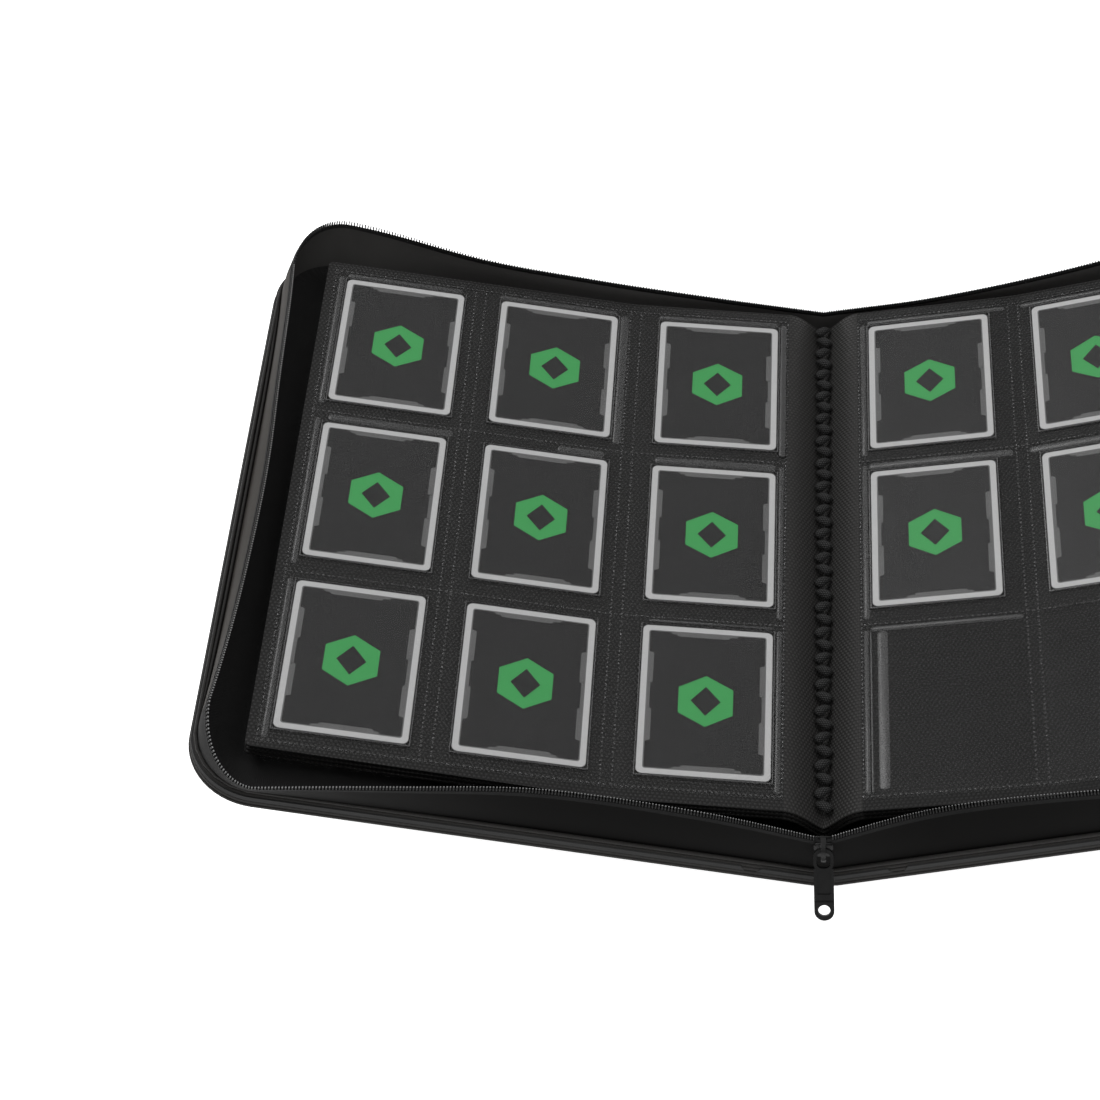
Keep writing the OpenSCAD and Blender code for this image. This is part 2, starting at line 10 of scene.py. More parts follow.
import bmesh
import bpy
import numpy as np
from mathutils import Matrix, Vector
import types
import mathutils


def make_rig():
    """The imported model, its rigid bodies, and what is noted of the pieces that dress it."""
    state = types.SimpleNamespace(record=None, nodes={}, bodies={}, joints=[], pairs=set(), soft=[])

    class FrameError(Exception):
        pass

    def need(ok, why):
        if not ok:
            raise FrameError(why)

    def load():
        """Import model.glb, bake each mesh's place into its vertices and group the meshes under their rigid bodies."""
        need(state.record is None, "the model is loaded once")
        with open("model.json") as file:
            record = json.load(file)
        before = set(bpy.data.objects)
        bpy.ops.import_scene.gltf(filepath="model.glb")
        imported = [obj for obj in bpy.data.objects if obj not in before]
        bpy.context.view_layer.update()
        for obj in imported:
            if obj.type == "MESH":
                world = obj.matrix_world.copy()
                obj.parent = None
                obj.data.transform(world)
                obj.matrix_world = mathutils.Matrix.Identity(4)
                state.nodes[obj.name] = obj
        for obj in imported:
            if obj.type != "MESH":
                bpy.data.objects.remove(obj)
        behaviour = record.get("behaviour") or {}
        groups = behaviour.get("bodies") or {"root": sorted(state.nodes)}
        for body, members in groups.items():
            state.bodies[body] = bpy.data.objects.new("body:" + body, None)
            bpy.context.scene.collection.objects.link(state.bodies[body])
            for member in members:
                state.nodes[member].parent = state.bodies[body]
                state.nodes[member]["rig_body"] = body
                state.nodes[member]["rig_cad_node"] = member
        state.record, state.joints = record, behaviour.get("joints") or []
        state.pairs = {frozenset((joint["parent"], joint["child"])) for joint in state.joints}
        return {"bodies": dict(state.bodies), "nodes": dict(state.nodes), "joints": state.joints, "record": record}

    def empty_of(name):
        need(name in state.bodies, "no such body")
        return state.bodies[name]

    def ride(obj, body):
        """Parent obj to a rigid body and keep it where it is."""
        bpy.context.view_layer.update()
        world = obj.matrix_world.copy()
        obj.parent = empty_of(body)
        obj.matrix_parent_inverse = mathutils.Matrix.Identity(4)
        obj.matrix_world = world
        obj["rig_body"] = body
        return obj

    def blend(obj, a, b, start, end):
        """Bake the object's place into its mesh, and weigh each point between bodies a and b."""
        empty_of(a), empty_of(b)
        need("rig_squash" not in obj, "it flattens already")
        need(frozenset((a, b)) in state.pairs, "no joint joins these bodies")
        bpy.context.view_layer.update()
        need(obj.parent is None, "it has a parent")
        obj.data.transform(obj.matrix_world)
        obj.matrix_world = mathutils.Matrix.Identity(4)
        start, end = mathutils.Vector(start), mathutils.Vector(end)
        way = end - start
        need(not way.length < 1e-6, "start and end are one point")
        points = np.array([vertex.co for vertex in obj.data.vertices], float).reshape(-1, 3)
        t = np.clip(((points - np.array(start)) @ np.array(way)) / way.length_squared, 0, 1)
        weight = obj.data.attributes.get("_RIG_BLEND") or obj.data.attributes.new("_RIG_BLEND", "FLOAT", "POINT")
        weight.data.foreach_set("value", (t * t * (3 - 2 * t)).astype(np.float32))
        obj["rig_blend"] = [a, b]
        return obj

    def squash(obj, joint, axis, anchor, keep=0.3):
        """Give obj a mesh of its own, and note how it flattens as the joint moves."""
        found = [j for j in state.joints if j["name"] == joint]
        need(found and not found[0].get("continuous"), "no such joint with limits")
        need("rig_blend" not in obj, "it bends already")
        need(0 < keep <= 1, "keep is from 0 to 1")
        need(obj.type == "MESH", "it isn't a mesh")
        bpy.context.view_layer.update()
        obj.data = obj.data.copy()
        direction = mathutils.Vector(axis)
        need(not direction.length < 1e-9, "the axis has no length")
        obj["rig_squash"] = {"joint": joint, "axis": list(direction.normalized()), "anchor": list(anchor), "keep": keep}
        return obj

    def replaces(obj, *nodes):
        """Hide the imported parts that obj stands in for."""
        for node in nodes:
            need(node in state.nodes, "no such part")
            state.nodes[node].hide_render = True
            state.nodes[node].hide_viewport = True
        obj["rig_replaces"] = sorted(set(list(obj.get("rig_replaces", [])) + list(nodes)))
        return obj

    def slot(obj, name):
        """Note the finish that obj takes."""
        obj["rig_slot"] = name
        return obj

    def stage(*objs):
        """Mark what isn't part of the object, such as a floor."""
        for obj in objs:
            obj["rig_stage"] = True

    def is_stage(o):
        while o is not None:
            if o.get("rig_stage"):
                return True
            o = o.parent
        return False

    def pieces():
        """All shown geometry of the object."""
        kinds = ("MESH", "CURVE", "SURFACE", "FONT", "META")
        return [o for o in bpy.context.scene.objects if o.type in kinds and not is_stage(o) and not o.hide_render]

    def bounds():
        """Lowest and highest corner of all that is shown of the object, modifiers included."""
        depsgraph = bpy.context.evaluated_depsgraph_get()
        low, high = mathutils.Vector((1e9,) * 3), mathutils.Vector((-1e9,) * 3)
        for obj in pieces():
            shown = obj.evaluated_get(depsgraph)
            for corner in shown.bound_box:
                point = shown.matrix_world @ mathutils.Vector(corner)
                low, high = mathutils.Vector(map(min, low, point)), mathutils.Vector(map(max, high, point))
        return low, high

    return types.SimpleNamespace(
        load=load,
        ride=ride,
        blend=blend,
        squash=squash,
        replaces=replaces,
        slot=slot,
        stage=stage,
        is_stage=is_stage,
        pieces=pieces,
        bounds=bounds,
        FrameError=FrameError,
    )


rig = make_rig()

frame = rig.load()
CAD_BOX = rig.bounds()

MM = 0.001
LEFT, RIGHT = -1, 1
SIDES = {LEFT: "front", RIGHT: "back"}
LEAVES = {LEFT: "left_leaves", RIGHT: "right_leaves"}
PAGES = {LEFT: "left", RIGHT: "right"}

# Covers
TILT = math.radians(14.15)
COVER_REACH = 303
HALF_HEIGHT = 178
CORNER = 34
COVER_THICKNESS = 8.5
REST_HALF = 6
REST_DROP = REST_HALF * math.tan(TILT)
CREASE = 36.4
PIPING_RADIUS = 0.95
PIPING_INSET = 3.0

# Zip gusset
WALL_INSET = 4.7
WALL_HALF = 0.75
ZIP_LENGTH_UP = 24.1
TAPE_BASE = 20.9
TOOTH_PITCH = 1.5

# Leaves
SHOULDER = (18, 41)
LEAF_LENGTH = 249
LEAF_LOW, LEAF_HIGH = -163, 160
LEAF_PITCH = 3.1
NEAR_SLOPE, FAR_SLOPE = 7.3, 13.1
BEND_START, BEND_END = 77, 89
BACKING = (-1.6, -0.8)
FOLD_FLOOR = 17.7
FOLD_PITCH = 3.5
COLUMNS = (37.5, 123.4, 206.3)
ROWS = (104, 0, -104)
ROW_WELDS = (154, 52, -54.5, -155.5)
COLUMN_WELDS = (0.6, 79.5, 85, 163.5, 169, 244)
LEAF_COUNT = 3

# Cards
CARD = (63, 88)
CARD_THICKNESS = 0.35
CARD_CORNER = 3
SLEEVE = (65, 90)

# Sewing in the gutter
LOBES = 40
LOBE_PITCH = 7.95
LOBE_LENGTH = 6.8
LOBE_RADIUS = 2.5
LOBE_SLANT = 4.6
LACE_HEIGHT = 30.4


# ---- Places ----

def cover_place(side, u, y, w, flatten=True):
    """Points in a cover's frame as points in the row frame, in metres."""
    u, y, w = np.broadcast_arrays(*(np.asarray(a, float) for a in (u, y, w)))
    rest = REST_HALF / math.cos(TILT)
    x = u * math.cos(TILT) - w * math.sin(TILT)
    z = u * math.sin(TILT) + w * math.cos(TILT) - REST_DROP
    if flatten:
        inside = u < rest
        x = np.where(inside, u / rest * (REST_HALF - w * math.sin(TILT)), x)
        z = np.where(inside, w * math.cos(TILT), z)
    return np.stack([side * x, y, z], -1) * MM


def leaf_curve():
    """Distance along a leaf from its shoulder, with the place and slope there."""
    s = np.arange(0, LEAF_LENGTH + 1, 0.5)
    ramp = np.clip((s - BEND_START) / (BEND_END - BEND_START), 0, 1)
    slope = np.radians(NEAR_SLOPE + (FAR_SLOPE - NEAR_SLOPE) * ramp)
    middle = (slope[1:] + slope[:-1]) / 2
    x = SHOULDER[0] + np.concatenate([[0], np.cumsum(0.5 * np.cos(middle))])
    z = SHOULDER[1] + np.concatenate([[0], np.cumsum(0.5 * np.sin(middle))])
    return s, x, z, slope


LEAF_CURVE = leaf_curve()


def leaf_place(side, s, y, h):
    """Points in a leaf's frame as points in the row frame, in metres."""
    s, y, h = np.broadcast_arrays(*(np.asarray(a, float) for a in (s, y, h)))
    along, xs, zs, slopes = LEAF_CURVE
    slope = np.interp(s, along, slopes)
    x = np.interp(s, along, xs) - h * np.sin(slope)
    z = np.interp(s, along, zs) + h * np.cos(slope)
    return np.stack([side * x, y, z], -1) * MM


def smooth_line(points, at):
    """Smooth curve through a few (distance, value) points, read at the given distances."""
    x, v = (np.array(a, float) for a in zip(*points))
    tangent = np.gradient(v, x)
    i = np.clip(np.searchsorted(x, at, side="right") - 1, 0, len(x) - 2)
    gap = x[i + 1] - x[i]
    t = np.clip((at - x[i]) / gap, 0, 1)
    return ((1 + 2 * t) * (1 - t) ** 2 * v[i] + t * (1 - t) ** 2 * gap * tangent[i]
            + t * t * (3 - 2 * t) * v[i + 1] + t * t * (t - 1) * gap * tangent[i + 1])


# ---- Path round a cover's edge: near side, near corner, outer side, far corner, far side ----

STRAIGHT = COVER_REACH - CORNER
RUN = HALF_HEIGHT - CORNER
ARC = math.pi / 2 * (CORNER - WALL_INSET)
PATH_ENDS = np.cumsum([STRAIGHT, ARC, 2 * RUN, ARC, STRAIGHT])


# How much further in than WALL_INSET the wall's foot stands, at the middle of the outer side
FOOT_SHIFT = 2.4


def foot_shift(d):
    _, corner_1, outer, _, _ = PATH_ENDS
    share = np.clip((2 * d - corner_1 - outer) / (outer - corner_1), -1, 1)
    return FOOT_SHIFT * (1 - share ** 4)


def edge_point(d, inset):
    """Place (u, y) on the edge path at distance d, moved in by inset, and its outward direction."""
    d = np.asarray(d, float)
    near, corner_1, outer, corner_2, _ = PATH_ENDS
    a1 = np.clip((d - near) / ARC, 0, 1) * math.pi / 2
    a2 = np.clip((d - outer) / ARC, 0, 1) * math.pi / 2
    first = d <= corner_1
    nu = np.where(first, np.sin(a1), np.cos(a2))
    ny = np.where(first, -np.cos(a1), np.sin(a2))
    u = np.where(d < near, d, np.where(d > corner_2, STRAIGHT - (d - corner_2), STRAIGHT))
    y = np.where(first, -RUN, np.where(d < outer, -RUN + (d - corner_1), RUN))
    radius = CORNER - inset
    return u + radius * nu, y + radius * ny, nu, ny


# How far the gusset wall leans in, in degrees, at even quarters of each run: from the spine
# outwards on the near and far sides, and from the near corner to the far one on the outer side
NEAR_LEAN = {LEFT: (0, 13, 14, -9, -32), RIGHT: (0, 22, 13, -7, -24)}
OUTER_LEAN = (8, 15, 18, 12, 10)
FAR_LEAN = {LEFT: (8, 12, 13, 6, -30), RIGHT: (8, 20, 19, 6, -15)}


def lean_along(leans, share):
    """Lean at a share of a run, from its values at even quarters."""
    return smooth_line(list(zip(np.linspace(0, 1, len(leans)), leans)), np.clip(share, 0, 1))


def wall_lean(side, d):
    """Lean of the wall across the cover's outer edge, and along its near and far edges."""
    near, corner_1, outer, _, far = PATH_ENDS
    across = lean_along(OUTER_LEAN, (d - corner_1) / (outer - corner_1))
    near_side = lean_along(NEAR_LEAN[side], d / near)
    far_side = lean_along(FAR_LEAN[side], (far - d) / near)
    return np.radians(across), np.radians(np.where(d < (corner_1 + outer) / 2, near_side, far_side))


FAN_REACH = 60


def wall_place(side, d, up, t):
    """Points on the gusset wall: distance along it, distance up it, and depth inwards."""
    d, up, t = np.broadcast_arrays(*(np.asarray(a, float) for a in (d, up, t)))
    across, along = wall_lean(side, d)
    depth = t - 0.9 * np.sin(np.clip(up / ZIP_LENGTH_UP, 0, 1) * math.pi)
    u, y, nu, ny = edge_point(d, WALL_INSET)
    shift = foot_shift(d)
    u = u - (up * np.sin(across) + depth * np.cos(across) + shift) * nu
    y = y - (up * np.sin(along) + depth * np.cos(along) + shift) * ny
    w = (COVER_THICKNESS + up * (np.cos(across) * nu ** 2 + np.cos(along) * ny ** 2)
         - t * (np.sin(across) * nu ** 2 + np.sin(along) * ny ** 2))
    u = u + w * math.tan(TILT) * np.clip(1 - u / FAN_REACH, 0, 1)
    return cover_place(side, u, y, w, flatten=False)


# ---- Meshes ----

def piece(name, verts, faces, materials, slot, uv=None, face_materials=None, sharp=35):
    """A new mesh piece with its normals turned out and its sharp edges kept."""
    mesh = bpy.data.meshes.new(name)
    mesh.from_pydata(np.asarray(verts, float).reshape(-1, 3).tolist(), [], faces)
    for m in materials:
        mesh.materials.append(m)
    if face_materials is not None:
        mesh.polygons.foreach_set("material_index", face_materials)
    if uv is not None:
        layer = mesh.uv_layers.new(name="UVMap")
        loops = np.zeros(len(mesh.loops), int)
        mesh.loops.foreach_get("vertex_index", loops)
        layer.data.foreach_set("uv", np.asarray(uv, float).reshape(-1, 2)[loops].ravel())
    bm = bmesh.new()
    bm.from_mesh(mesh)
    bmesh.ops.recalc_face_normals(bm, faces=bm.faces)
    bm.to_mesh(mesh)
    bm.free()
    mesh.polygons.foreach_set("use_smooth", [True] * len(mesh.polygons))
    mesh.set_sharp_from_angle(angle=math.radians(sharp))
    obj = bpy.data.objects.new(name, mesh)
    bpy.context.scene.collection.objects.link(obj)
    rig.slot(obj, slot)
    return obj


def slab(name, place, us, vs, low, high, materials, slot, edges=None, inner_material=0):
    """A closed thin sheet over a grid. edges(u) gives the two ends of each row of a shaped outline."""
    us, vs = np.asarray(us, float), np.asarray(vs, float)
    U, V = np.meshgrid(us, vs, indexing="ij")
    if edges is not None:
        low_end, high_end = edges(U)
        V = low_end + (V - vs[0]) / (vs[-1] - vs[0]) * (high_end - low_end)
    nu, nv = U.shape
    top = place(U, V, high(U, V) if callable(high) else high)
    bottom = place(U, V, low(U, V) if callable(low) else low)
    count = nu * nv
    at = np.arange(count).reshape(nu, nv)
    quads = np.stack([at[:-1, :-1], at[1:, :-1], at[1:, 1:], at[:-1, 1:]], -1).reshape(-1, 4)
    rim = np.concatenate([at[:, 0], at[-1, 1:], at[-2::-1, -1], at[0, -2:0:-1]])
    after = np.roll(rim, -1)
    sides = np.stack([rim, after, after + count, rim + count], -1)
    faces = np.concatenate([quads, quads[:, ::-1] + count, sides]).tolist()
    uv = np.stack([U, V], -1).reshape(-1, 2)
    indexes = [inner_material] * len(quads) + [0] * (len(faces) - len(quads))
    return piece(name, np.concatenate([top.reshape(-1, 3), bottom.reshape(-1, 3)]), faces,
                 materials, slot, uv=np.concatenate([uv, uv]), face_materials=indexes)


def sweep(name, rings, materials, slot, closed_ends=True, uv=None):
    """A solid through a row of rings of points, each ring a closed loop."""
    rings = np.asarray(rings, float)
    n, m = rings.shape[:2]
    at = np.arange(n * m).reshape(n, m)
    turn = np.roll(at, -1, axis=1)
    faces = np.stack([at[:-1], at[1:], turn[1:], turn[:-1]], -1).reshape(-1, 4).tolist()
    if closed_ends:
        faces += [at[0].tolist(), at[-1][::-1].tolist()]
    return piece(name, rings, faces, materials, slot, uv=uv)


def many(name, rings, materials, slot, uv=None, sharp=50, face_materials=None):
    """Many small solids in one piece: rings has one row of rings for each solid."""
    rings = np.asarray(rings, float)
    count, n, m = rings.shape[:3]
    at = np.arange(n * m).reshape(n, m)
    turn = np.roll(at, -1, axis=1)
    quads = np.stack([at[:-1], at[1:], turn[1:], turn[:-1]], -1).reshape(-1, 4)
    offsets = (np.arange(count) * n * m)[:, None, None]
    faces = (quads[None] + offsets).reshape(-1, 4).tolist()
    faces += (at[0][None] + offsets[:, 0]).tolist()
    faces += (at[-1][::-1][None] + offsets[:, 0]).tolist()
    return piece(name, rings, faces, materials, slot, uv=uv, face_materials=face_materials, sharp=sharp)


def circle(radius, sides):
    a = np.arange(sides) * 2 * math.pi / sides
    return np.stack([radius * np.cos(a), radius * np.sin(a)], -1)


def crease_points(side, reach, height=COVER_THICKNESS):
    ends = [cover_place(side, CREASE + r, 0, height, flatten=False) for r in (-reach, reach)]
    return tuple(ends[0]), tuple(ends[1])


def blend_cover(obj, side, reach):
    start, end = crease_points(side, reach)
    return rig.blend(obj, "spine", SIDES[side] + "_cover", start=start, end=end)


# ---- Materials ----

class Nodes:
    """Short names for building a node material."""

    def __init__(self, name, color, roughness, specular=0.3, **values):
        self.material = bpy.data.materials.new(name)
        self.material.use_nodes = True
        self.tree = self.material.node_tree
        self.shader = self.tree.nodes["Principled BSDF"]
        self.set(self.shader, "Base Color", (*color, 1))
        self.set(self.shader, "Roughness", roughness)
        self.set(self.shader, "Specular IOR Level", specular)
        for key, value in values.items():
            self.set(self.shader, key.replace("_", " ").title(), value)

    def set(self, node, key, value):
        node.inputs[key].default_value = value

    def link(self, source, target):
        self.tree.links.new(source, target)

    def add(self, kind, inputs=None, **settings):
        node = self.tree.nodes.new(kind)
        for key, value in settings.items():
            setattr(node, key, value)
        for key, value in (inputs or {}).items():
            if isinstance(value, bpy.types.NodeSocket):
                self.link(value, node.inputs[key])
            else:
                node.inputs[key].default_value = value
        return node

    def math(self, operation, a, b=0.0, clamp=False):
        node = self.add("ShaderNodeMath", {0: a, 1: b}, operation=operation, use_clamp=clamp)
        return node.outputs[0]

    def place(self):
        return self.add("ShaderNodeTexCoord").outputs["Object"]

    def uv(self):
        split = self.add("ShaderNodeSeparateXYZ", {0: self.add("ShaderNodeTexCoord").outputs["UV"]})
        return split.outputs[0], split.outputs[1]

    def noise(self, scale, detail=3.0, vector=None):
        return self.add("ShaderNodeTexNoise", {"Vector": vector or self.place(), "Scale": scale,
                                               "Detail": detail}).outputs[0]

    def cells(self, scale):
        return self.add("ShaderNodeTexVoronoi", {"Vector": self.place(), "Scale": scale},
                        feature="SMOOTH_F1").outputs[0]

    def ripple(self, coordinate, pitch):
        """A wave from -1 to 1 along a coordinate in millimetres."""
        return self.math("SINE", self.math("MULTIPLY", coordinate, 2 * math.pi / pitch))

    def shade(self, amount, low, high):
        """Colour from low to high by an amount from 0 to 1."""
        mix = self.add("ShaderNodeMix", {"Factor": amount, 6: (*low, 1), 7: (*high, 1)},
                       data_type="RGBA")
        self.link(mix.outputs[2], self.shader.inputs["Base Color"])

    def rough(self, amount, low, high):
        spread = self.add("ShaderNodeMapRange", {"Value": amount, "To Min": low, "To Max": high})
        self.link(spread.outputs[0], self.shader.inputs["Roughness"])

    def bump(self, height, distance, strength=1.0):
        node = self.add("ShaderNodeBump", {"Height": height, "Distance": distance * MM,
                                           "Strength": strength})
        self.link(node.outputs[0], self.shader.inputs["Normal"])


def grey(value, warm=0.0):
    return (value * (1 + warm), value, value * (1 - warm))


def leather(name, tone, warm=0.0):
    """Grained leatherette: fine pebbles with a soft unevenness."""
    n = Nodes(name, grey(tone), 0.6, 0.14)
    pebbles = n.cells(1100)
    patches = n.noise(60)
    n.shade(n.math("MULTIPLY", n.math("ADD", pebbles, patches), 0.7, clamp=True),
            grey(tone * 0.7, warm), grey(tone * 1.35, warm))
    n.rough(patches, 0.5, 0.68)
    n.bump(n.math("ADD", pebbles, n.math("MULTIPLY", n.noise(3000), 0.3)), 0.22, 0.6)
    return n.material


def smooth_skin(name, tone, warm=0.0):
    """Matt coated fabric of the gusset wall, with a very fine grain."""
    n = Nodes(name, grey(tone), 0.66, 0.03)
    patches = n.noise(45)
    n.shade(patches, grey(tone * 0.8, warm), grey(tone * 1.25, warm))
    n.rough(patches, 0.55, 0.7)
    n.bump(n.noise(2200), 0.06, 0.5)
    return n.material


def painted_shade_skin(name, tone, start, span):
    """The gusset's fabric with painted shade: darker up to a distance round the cover's edge, into the far corner, and
    lighter from there on.
    """
    n = Nodes(name, grey(tone), 0.66, 0.03)
    patches = n.noise(45)
    along, _ = n.uv()
    # The ramp darkens the colour towards the corner where the far run begins: painted shade.
    ramp = n.math("DIVIDE", n.math("SUBTRACT", along, start), span, clamp=True)
    amount = n.math("ADD", n.math("MULTIPLY", ramp, 0.85), n.math("MULTIPLY", patches, 0.15))
    n.shade(amount, grey(tone * 0.35, 0.03), grey(tone * 1.35, 0.03))
    n.rough(patches, 0.55, 0.7)
    n.bump(n.noise(2200), 0.06, 0.5)
    return n.material


def woven(name, tone, pitch, warm=0.0):
    """Cloth woven across and along its UV directions."""
    n = Nodes(name, grey(tone), 0.8, 0.15)
    across, along = n.uv()
    cross = n.math("MULTIPLY", n.ripple(across, pitch), n.ripple(along, pitch))
    amount = n.math("MULTIPLY", n.math("ADD", cross, 1.0), 0.5)
    n.shade(amount, grey(tone * 0.6, warm), grey(tone * 1.4, warm))
    n.rough(n.noise(80), 0.72, 0.9)
    n.bump(n.math("ADD", amount, n.math("MULTIPLY", n.noise(1500), 0.3)), 0.15, 0.7)
    return n.material


def embossed(name, tone, warm=0.0):
    """Plastic sheet embossed with rows of small lozenges, with painted shade in the grooves and painted light on the
    crests.
    """
    row, cell = 1.85, 2.2
    n = Nodes(name, grey(tone), 0.5, 0.14)
    across, along = n.uv()
    lozenge = n.math("MULTIPLY", n.ripple(across, cell), n.ripple(along, 2 * row))
    rib = n.math("ABSOLUTE", n.ripple(along, 2 * row))
    height = n.math("ADD", n.math("MULTIPLY", lozenge, 0.45), n.math("MULTIPLY", rib, 0.7))
    amount = n.math("MULTIPLY", n.math("ADD", height, 0.5), 0.6, clamp=True)
    # Colour follows the emboss's height: painted shade down in the grooves, painted light up on the crests.
    n.shade(amount, grey(tone * 0.15, warm), grey(tone * 1.65, warm))
    n.rough(n.noise(70), 0.42, 0.6)
    n.bump(height, 0.35, 0.8)
    return n.material


def film(name, tone, alpha, roughness):
    """Clear soft plastic, with faint waves in its surface."""
    n = Nodes(name, grey(tone), roughness, 0.5, alpha=alpha)
    n.rough(n.noise(90), roughness * 0.8, roughness * 1.3)
    n.bump(n.noise(60, 1.0), 0.15, 0.2)
    return n.material


def printed(name, color, roughness=0.4):
    """Printed card: an even ink with a faint mottle and a satin surface."""
    n = Nodes(name, color, roughness, 0.1)
    mottle = n.noise(700, 4.0)
    n.shade(mottle, tuple(c * 0.94 for c in color), tuple(c * 1.06 for c in color))
    n.rough(n.noise(60), roughness * 0.85, roughness * 1.2)
    n.bump(mottle, 0.01, 0.3)
    return n.material


def coated_metal(name, tone):
    """Black lacquered metal, a little worn."""
    n = Nodes(name, grey(tone), 0.4, 0.16)
    wear = n.noise(260, 5.0)
    n.shade(n.math("MULTIPLY", wear, wear), grey(tone * 0.8), grey(tone * 1.6))
    n.rough(wear, 0.28, 0.5)
    n.bump(n.noise(900), 0.03, 0.4)
    return n.material


def braided(name, tone):
    """Braided cord: strands crossing both ways round it, with painted shade between the strands and painted light on
    them.
    """
    n = Nodes(name, grey(tone), 0.75, 0.2)
    around, along = n.uv()
    one = n.math("ABSOLUTE", n.ripple(n.math("ADD", around, along), 2.8))
    other = n.math("ABSOLUTE", n.ripple(n.math("SUBTRACT", around, along), 2.8))
    strands = n.math("MULTIPLY", one, other)
    # Colour follows the strands' height: painted shade in the grooves, painted light on the crowns.
    n.shade(strands, grey(tone * 0.15), grey(tone * 2))
    n.rough(n.noise(200), 0.65, 0.85)
    n.bump(n.math("ADD", strands, n.math("MULTIPLY", n.noise(2500), 0.15)), 0.6, 0.9)
    return n.material


def floor_material():
    n = Nodes("studio_floor", grey(0.93), 0.75, 0.1, emission_strength=0.85)
    n.set(n.shader, "Emission Color", (1, 1, 1, 1))
    n.shade(n.noise(6), grey(0.92), grey(0.94))
    n.bump(n.noise(400), 0.03, 0.2)
    return n.material


LEATHER = leather("cover_leather", 0.014, 0.06)
LINING = woven("lining_cloth", 0.0075, 0.9)
# One gusset cloth in three tones for how its faces are lit: the darkest where it lies in shade, a lighter copy on the
# outer run's outside and the lightest on the far run's inside. These are painted light and shade.
WALL = smooth_skin("gusset_cloth", 0.0042, 0.03)
WALL_SIDE_LIT = smooth_skin("gusset_cloth_side", 0.028, 0.1)
WALL_FAR_LIT = painted_shade_skin("gusset_cloth_far", 0.075, 655, 135)
TAPE = woven("zip_tape_cloth", 0.006, 0.8)
TEETH = printed("zip_teeth_nylon", grey(0.02), 0.4)
# A lighter copy of the teeth's nylon for their tops: a painted highlight.
TEETH_HIGHLIGHT = printed("zip_teeth_polished", grey(0.2), 0.25)
PIPING = leather("piping_leather", 0.014, 0.05)
SHEET = embossed("leaf_plastic", 0.0098, 0.02)
# A darker copy of the leaf plastic for the right-hand leaves, which slope away from the light: painted shade.
SHEET_SHADED = embossed("leaf_plastic_right", 0.006, 0.02)
MARGIN = embossed("margin_plastic", 0.017, 0.03)
FILM = film("pocket_film_clear", 0.1, 0.012, 0.25)
# A lighter, less clear copy of the pocket film for the raised bands: a painted highlight along the film's folds and
# edges.
BAND_HIGHLIGHT = film("pocket_film_band_painted_highlight", 0.05, 0.5, 0.3)
WELD = film("pocket_film_weld", 0.06, 0.45, 0.15)
SLEEVE_FILM = film("sleeve_film_clear", 0.12, 0.015, 0.2)
SLEEVE_RIM = film("sleeve_film_seam", 0.08, 0.6, 0.25)
CARD_EDGE = printed("card_stock", grey(0.16))
CARD_BORDER = printed("card_border_ink", grey(0.40))
CARD_FACE = printed("card_face_ink", grey(0.022))
CARD_NOTCH = printed("card_notch_ink", grey(0.1))
CARD_LINE = printed("card_line_ink", grey(0.12))
CARD_EMBLEM = printed("card_emblem_ink", (0.048, 0.27, 0.08))
LACE = braided("gutter_lace_braid", 0.02)
BINDING = woven("binding_cloth", 0.008, 1.1)
METAL = coated_metal("slider_lacquer", 0.004)
BOARD = printed("board_pulp", (0.25, 0.19, 0.12), 0.85)
FOAM = smooth_skin("padding_foam", 0.03)
FLOOR = floor_material()


# ---- Stage ----

FOCAL_LENGTH = 85.24
SENSOR = 36
CAMERA_PLACE = Vector((20.26, -847.62, 1032.7)) * MM
CAMERA_PITCH = math.radians(49.153)
CAMERA_YAW = math.radians(-10.549)
CAMERA_ROLL = math.radians(-8.737)


def make_camera():
    data = bpy.data.cameras.new("camera")
    data.lens = FOCAL_LENGTH
    data.sensor_width = SENSOR
    data.clip_end = 20
    camera = bpy.data.objects.new("camera", data)
    bpy.context.scene.collection.objects.link(camera)
    ahead = Vector((math.sin(CAMERA_YAW) * math.cos(CAMERA_PITCH),
                    math.cos(CAMERA_YAW) * math.cos(CAMERA_PITCH), -math.sin(CAMERA_PITCH)))
    level = Vector((math.cos(CAMERA_YAW), -math.sin(CAMERA_YAW), 0))
    above = level.cross(ahead)
    right = math.cos(CAMERA_ROLL) * level + math.sin(CAMERA_ROLL) * above
    up = -math.sin(CAMERA_ROLL) * level + math.cos(CAMERA_ROLL) * above
    turn = Matrix((right, up, -ahead)).transposed().to_4x4()
    camera.matrix_world = Matrix.Translation(CAMERA_PLACE) @ turn
    bpy.context.scene.camera = camera


def area_light(name, place, aim, size, power):
    data = bpy.data.lights.new(name, "AREA")
    data.size = size
    data.energy = power
    light = bpy.data.objects.new(name, data)
    bpy.context.scene.collection.objects.link(light)
    light.location = place
    light.rotation_euler = (Vector(aim) - Vector(place)).to_track_quat("-Z", "Y").to_euler()


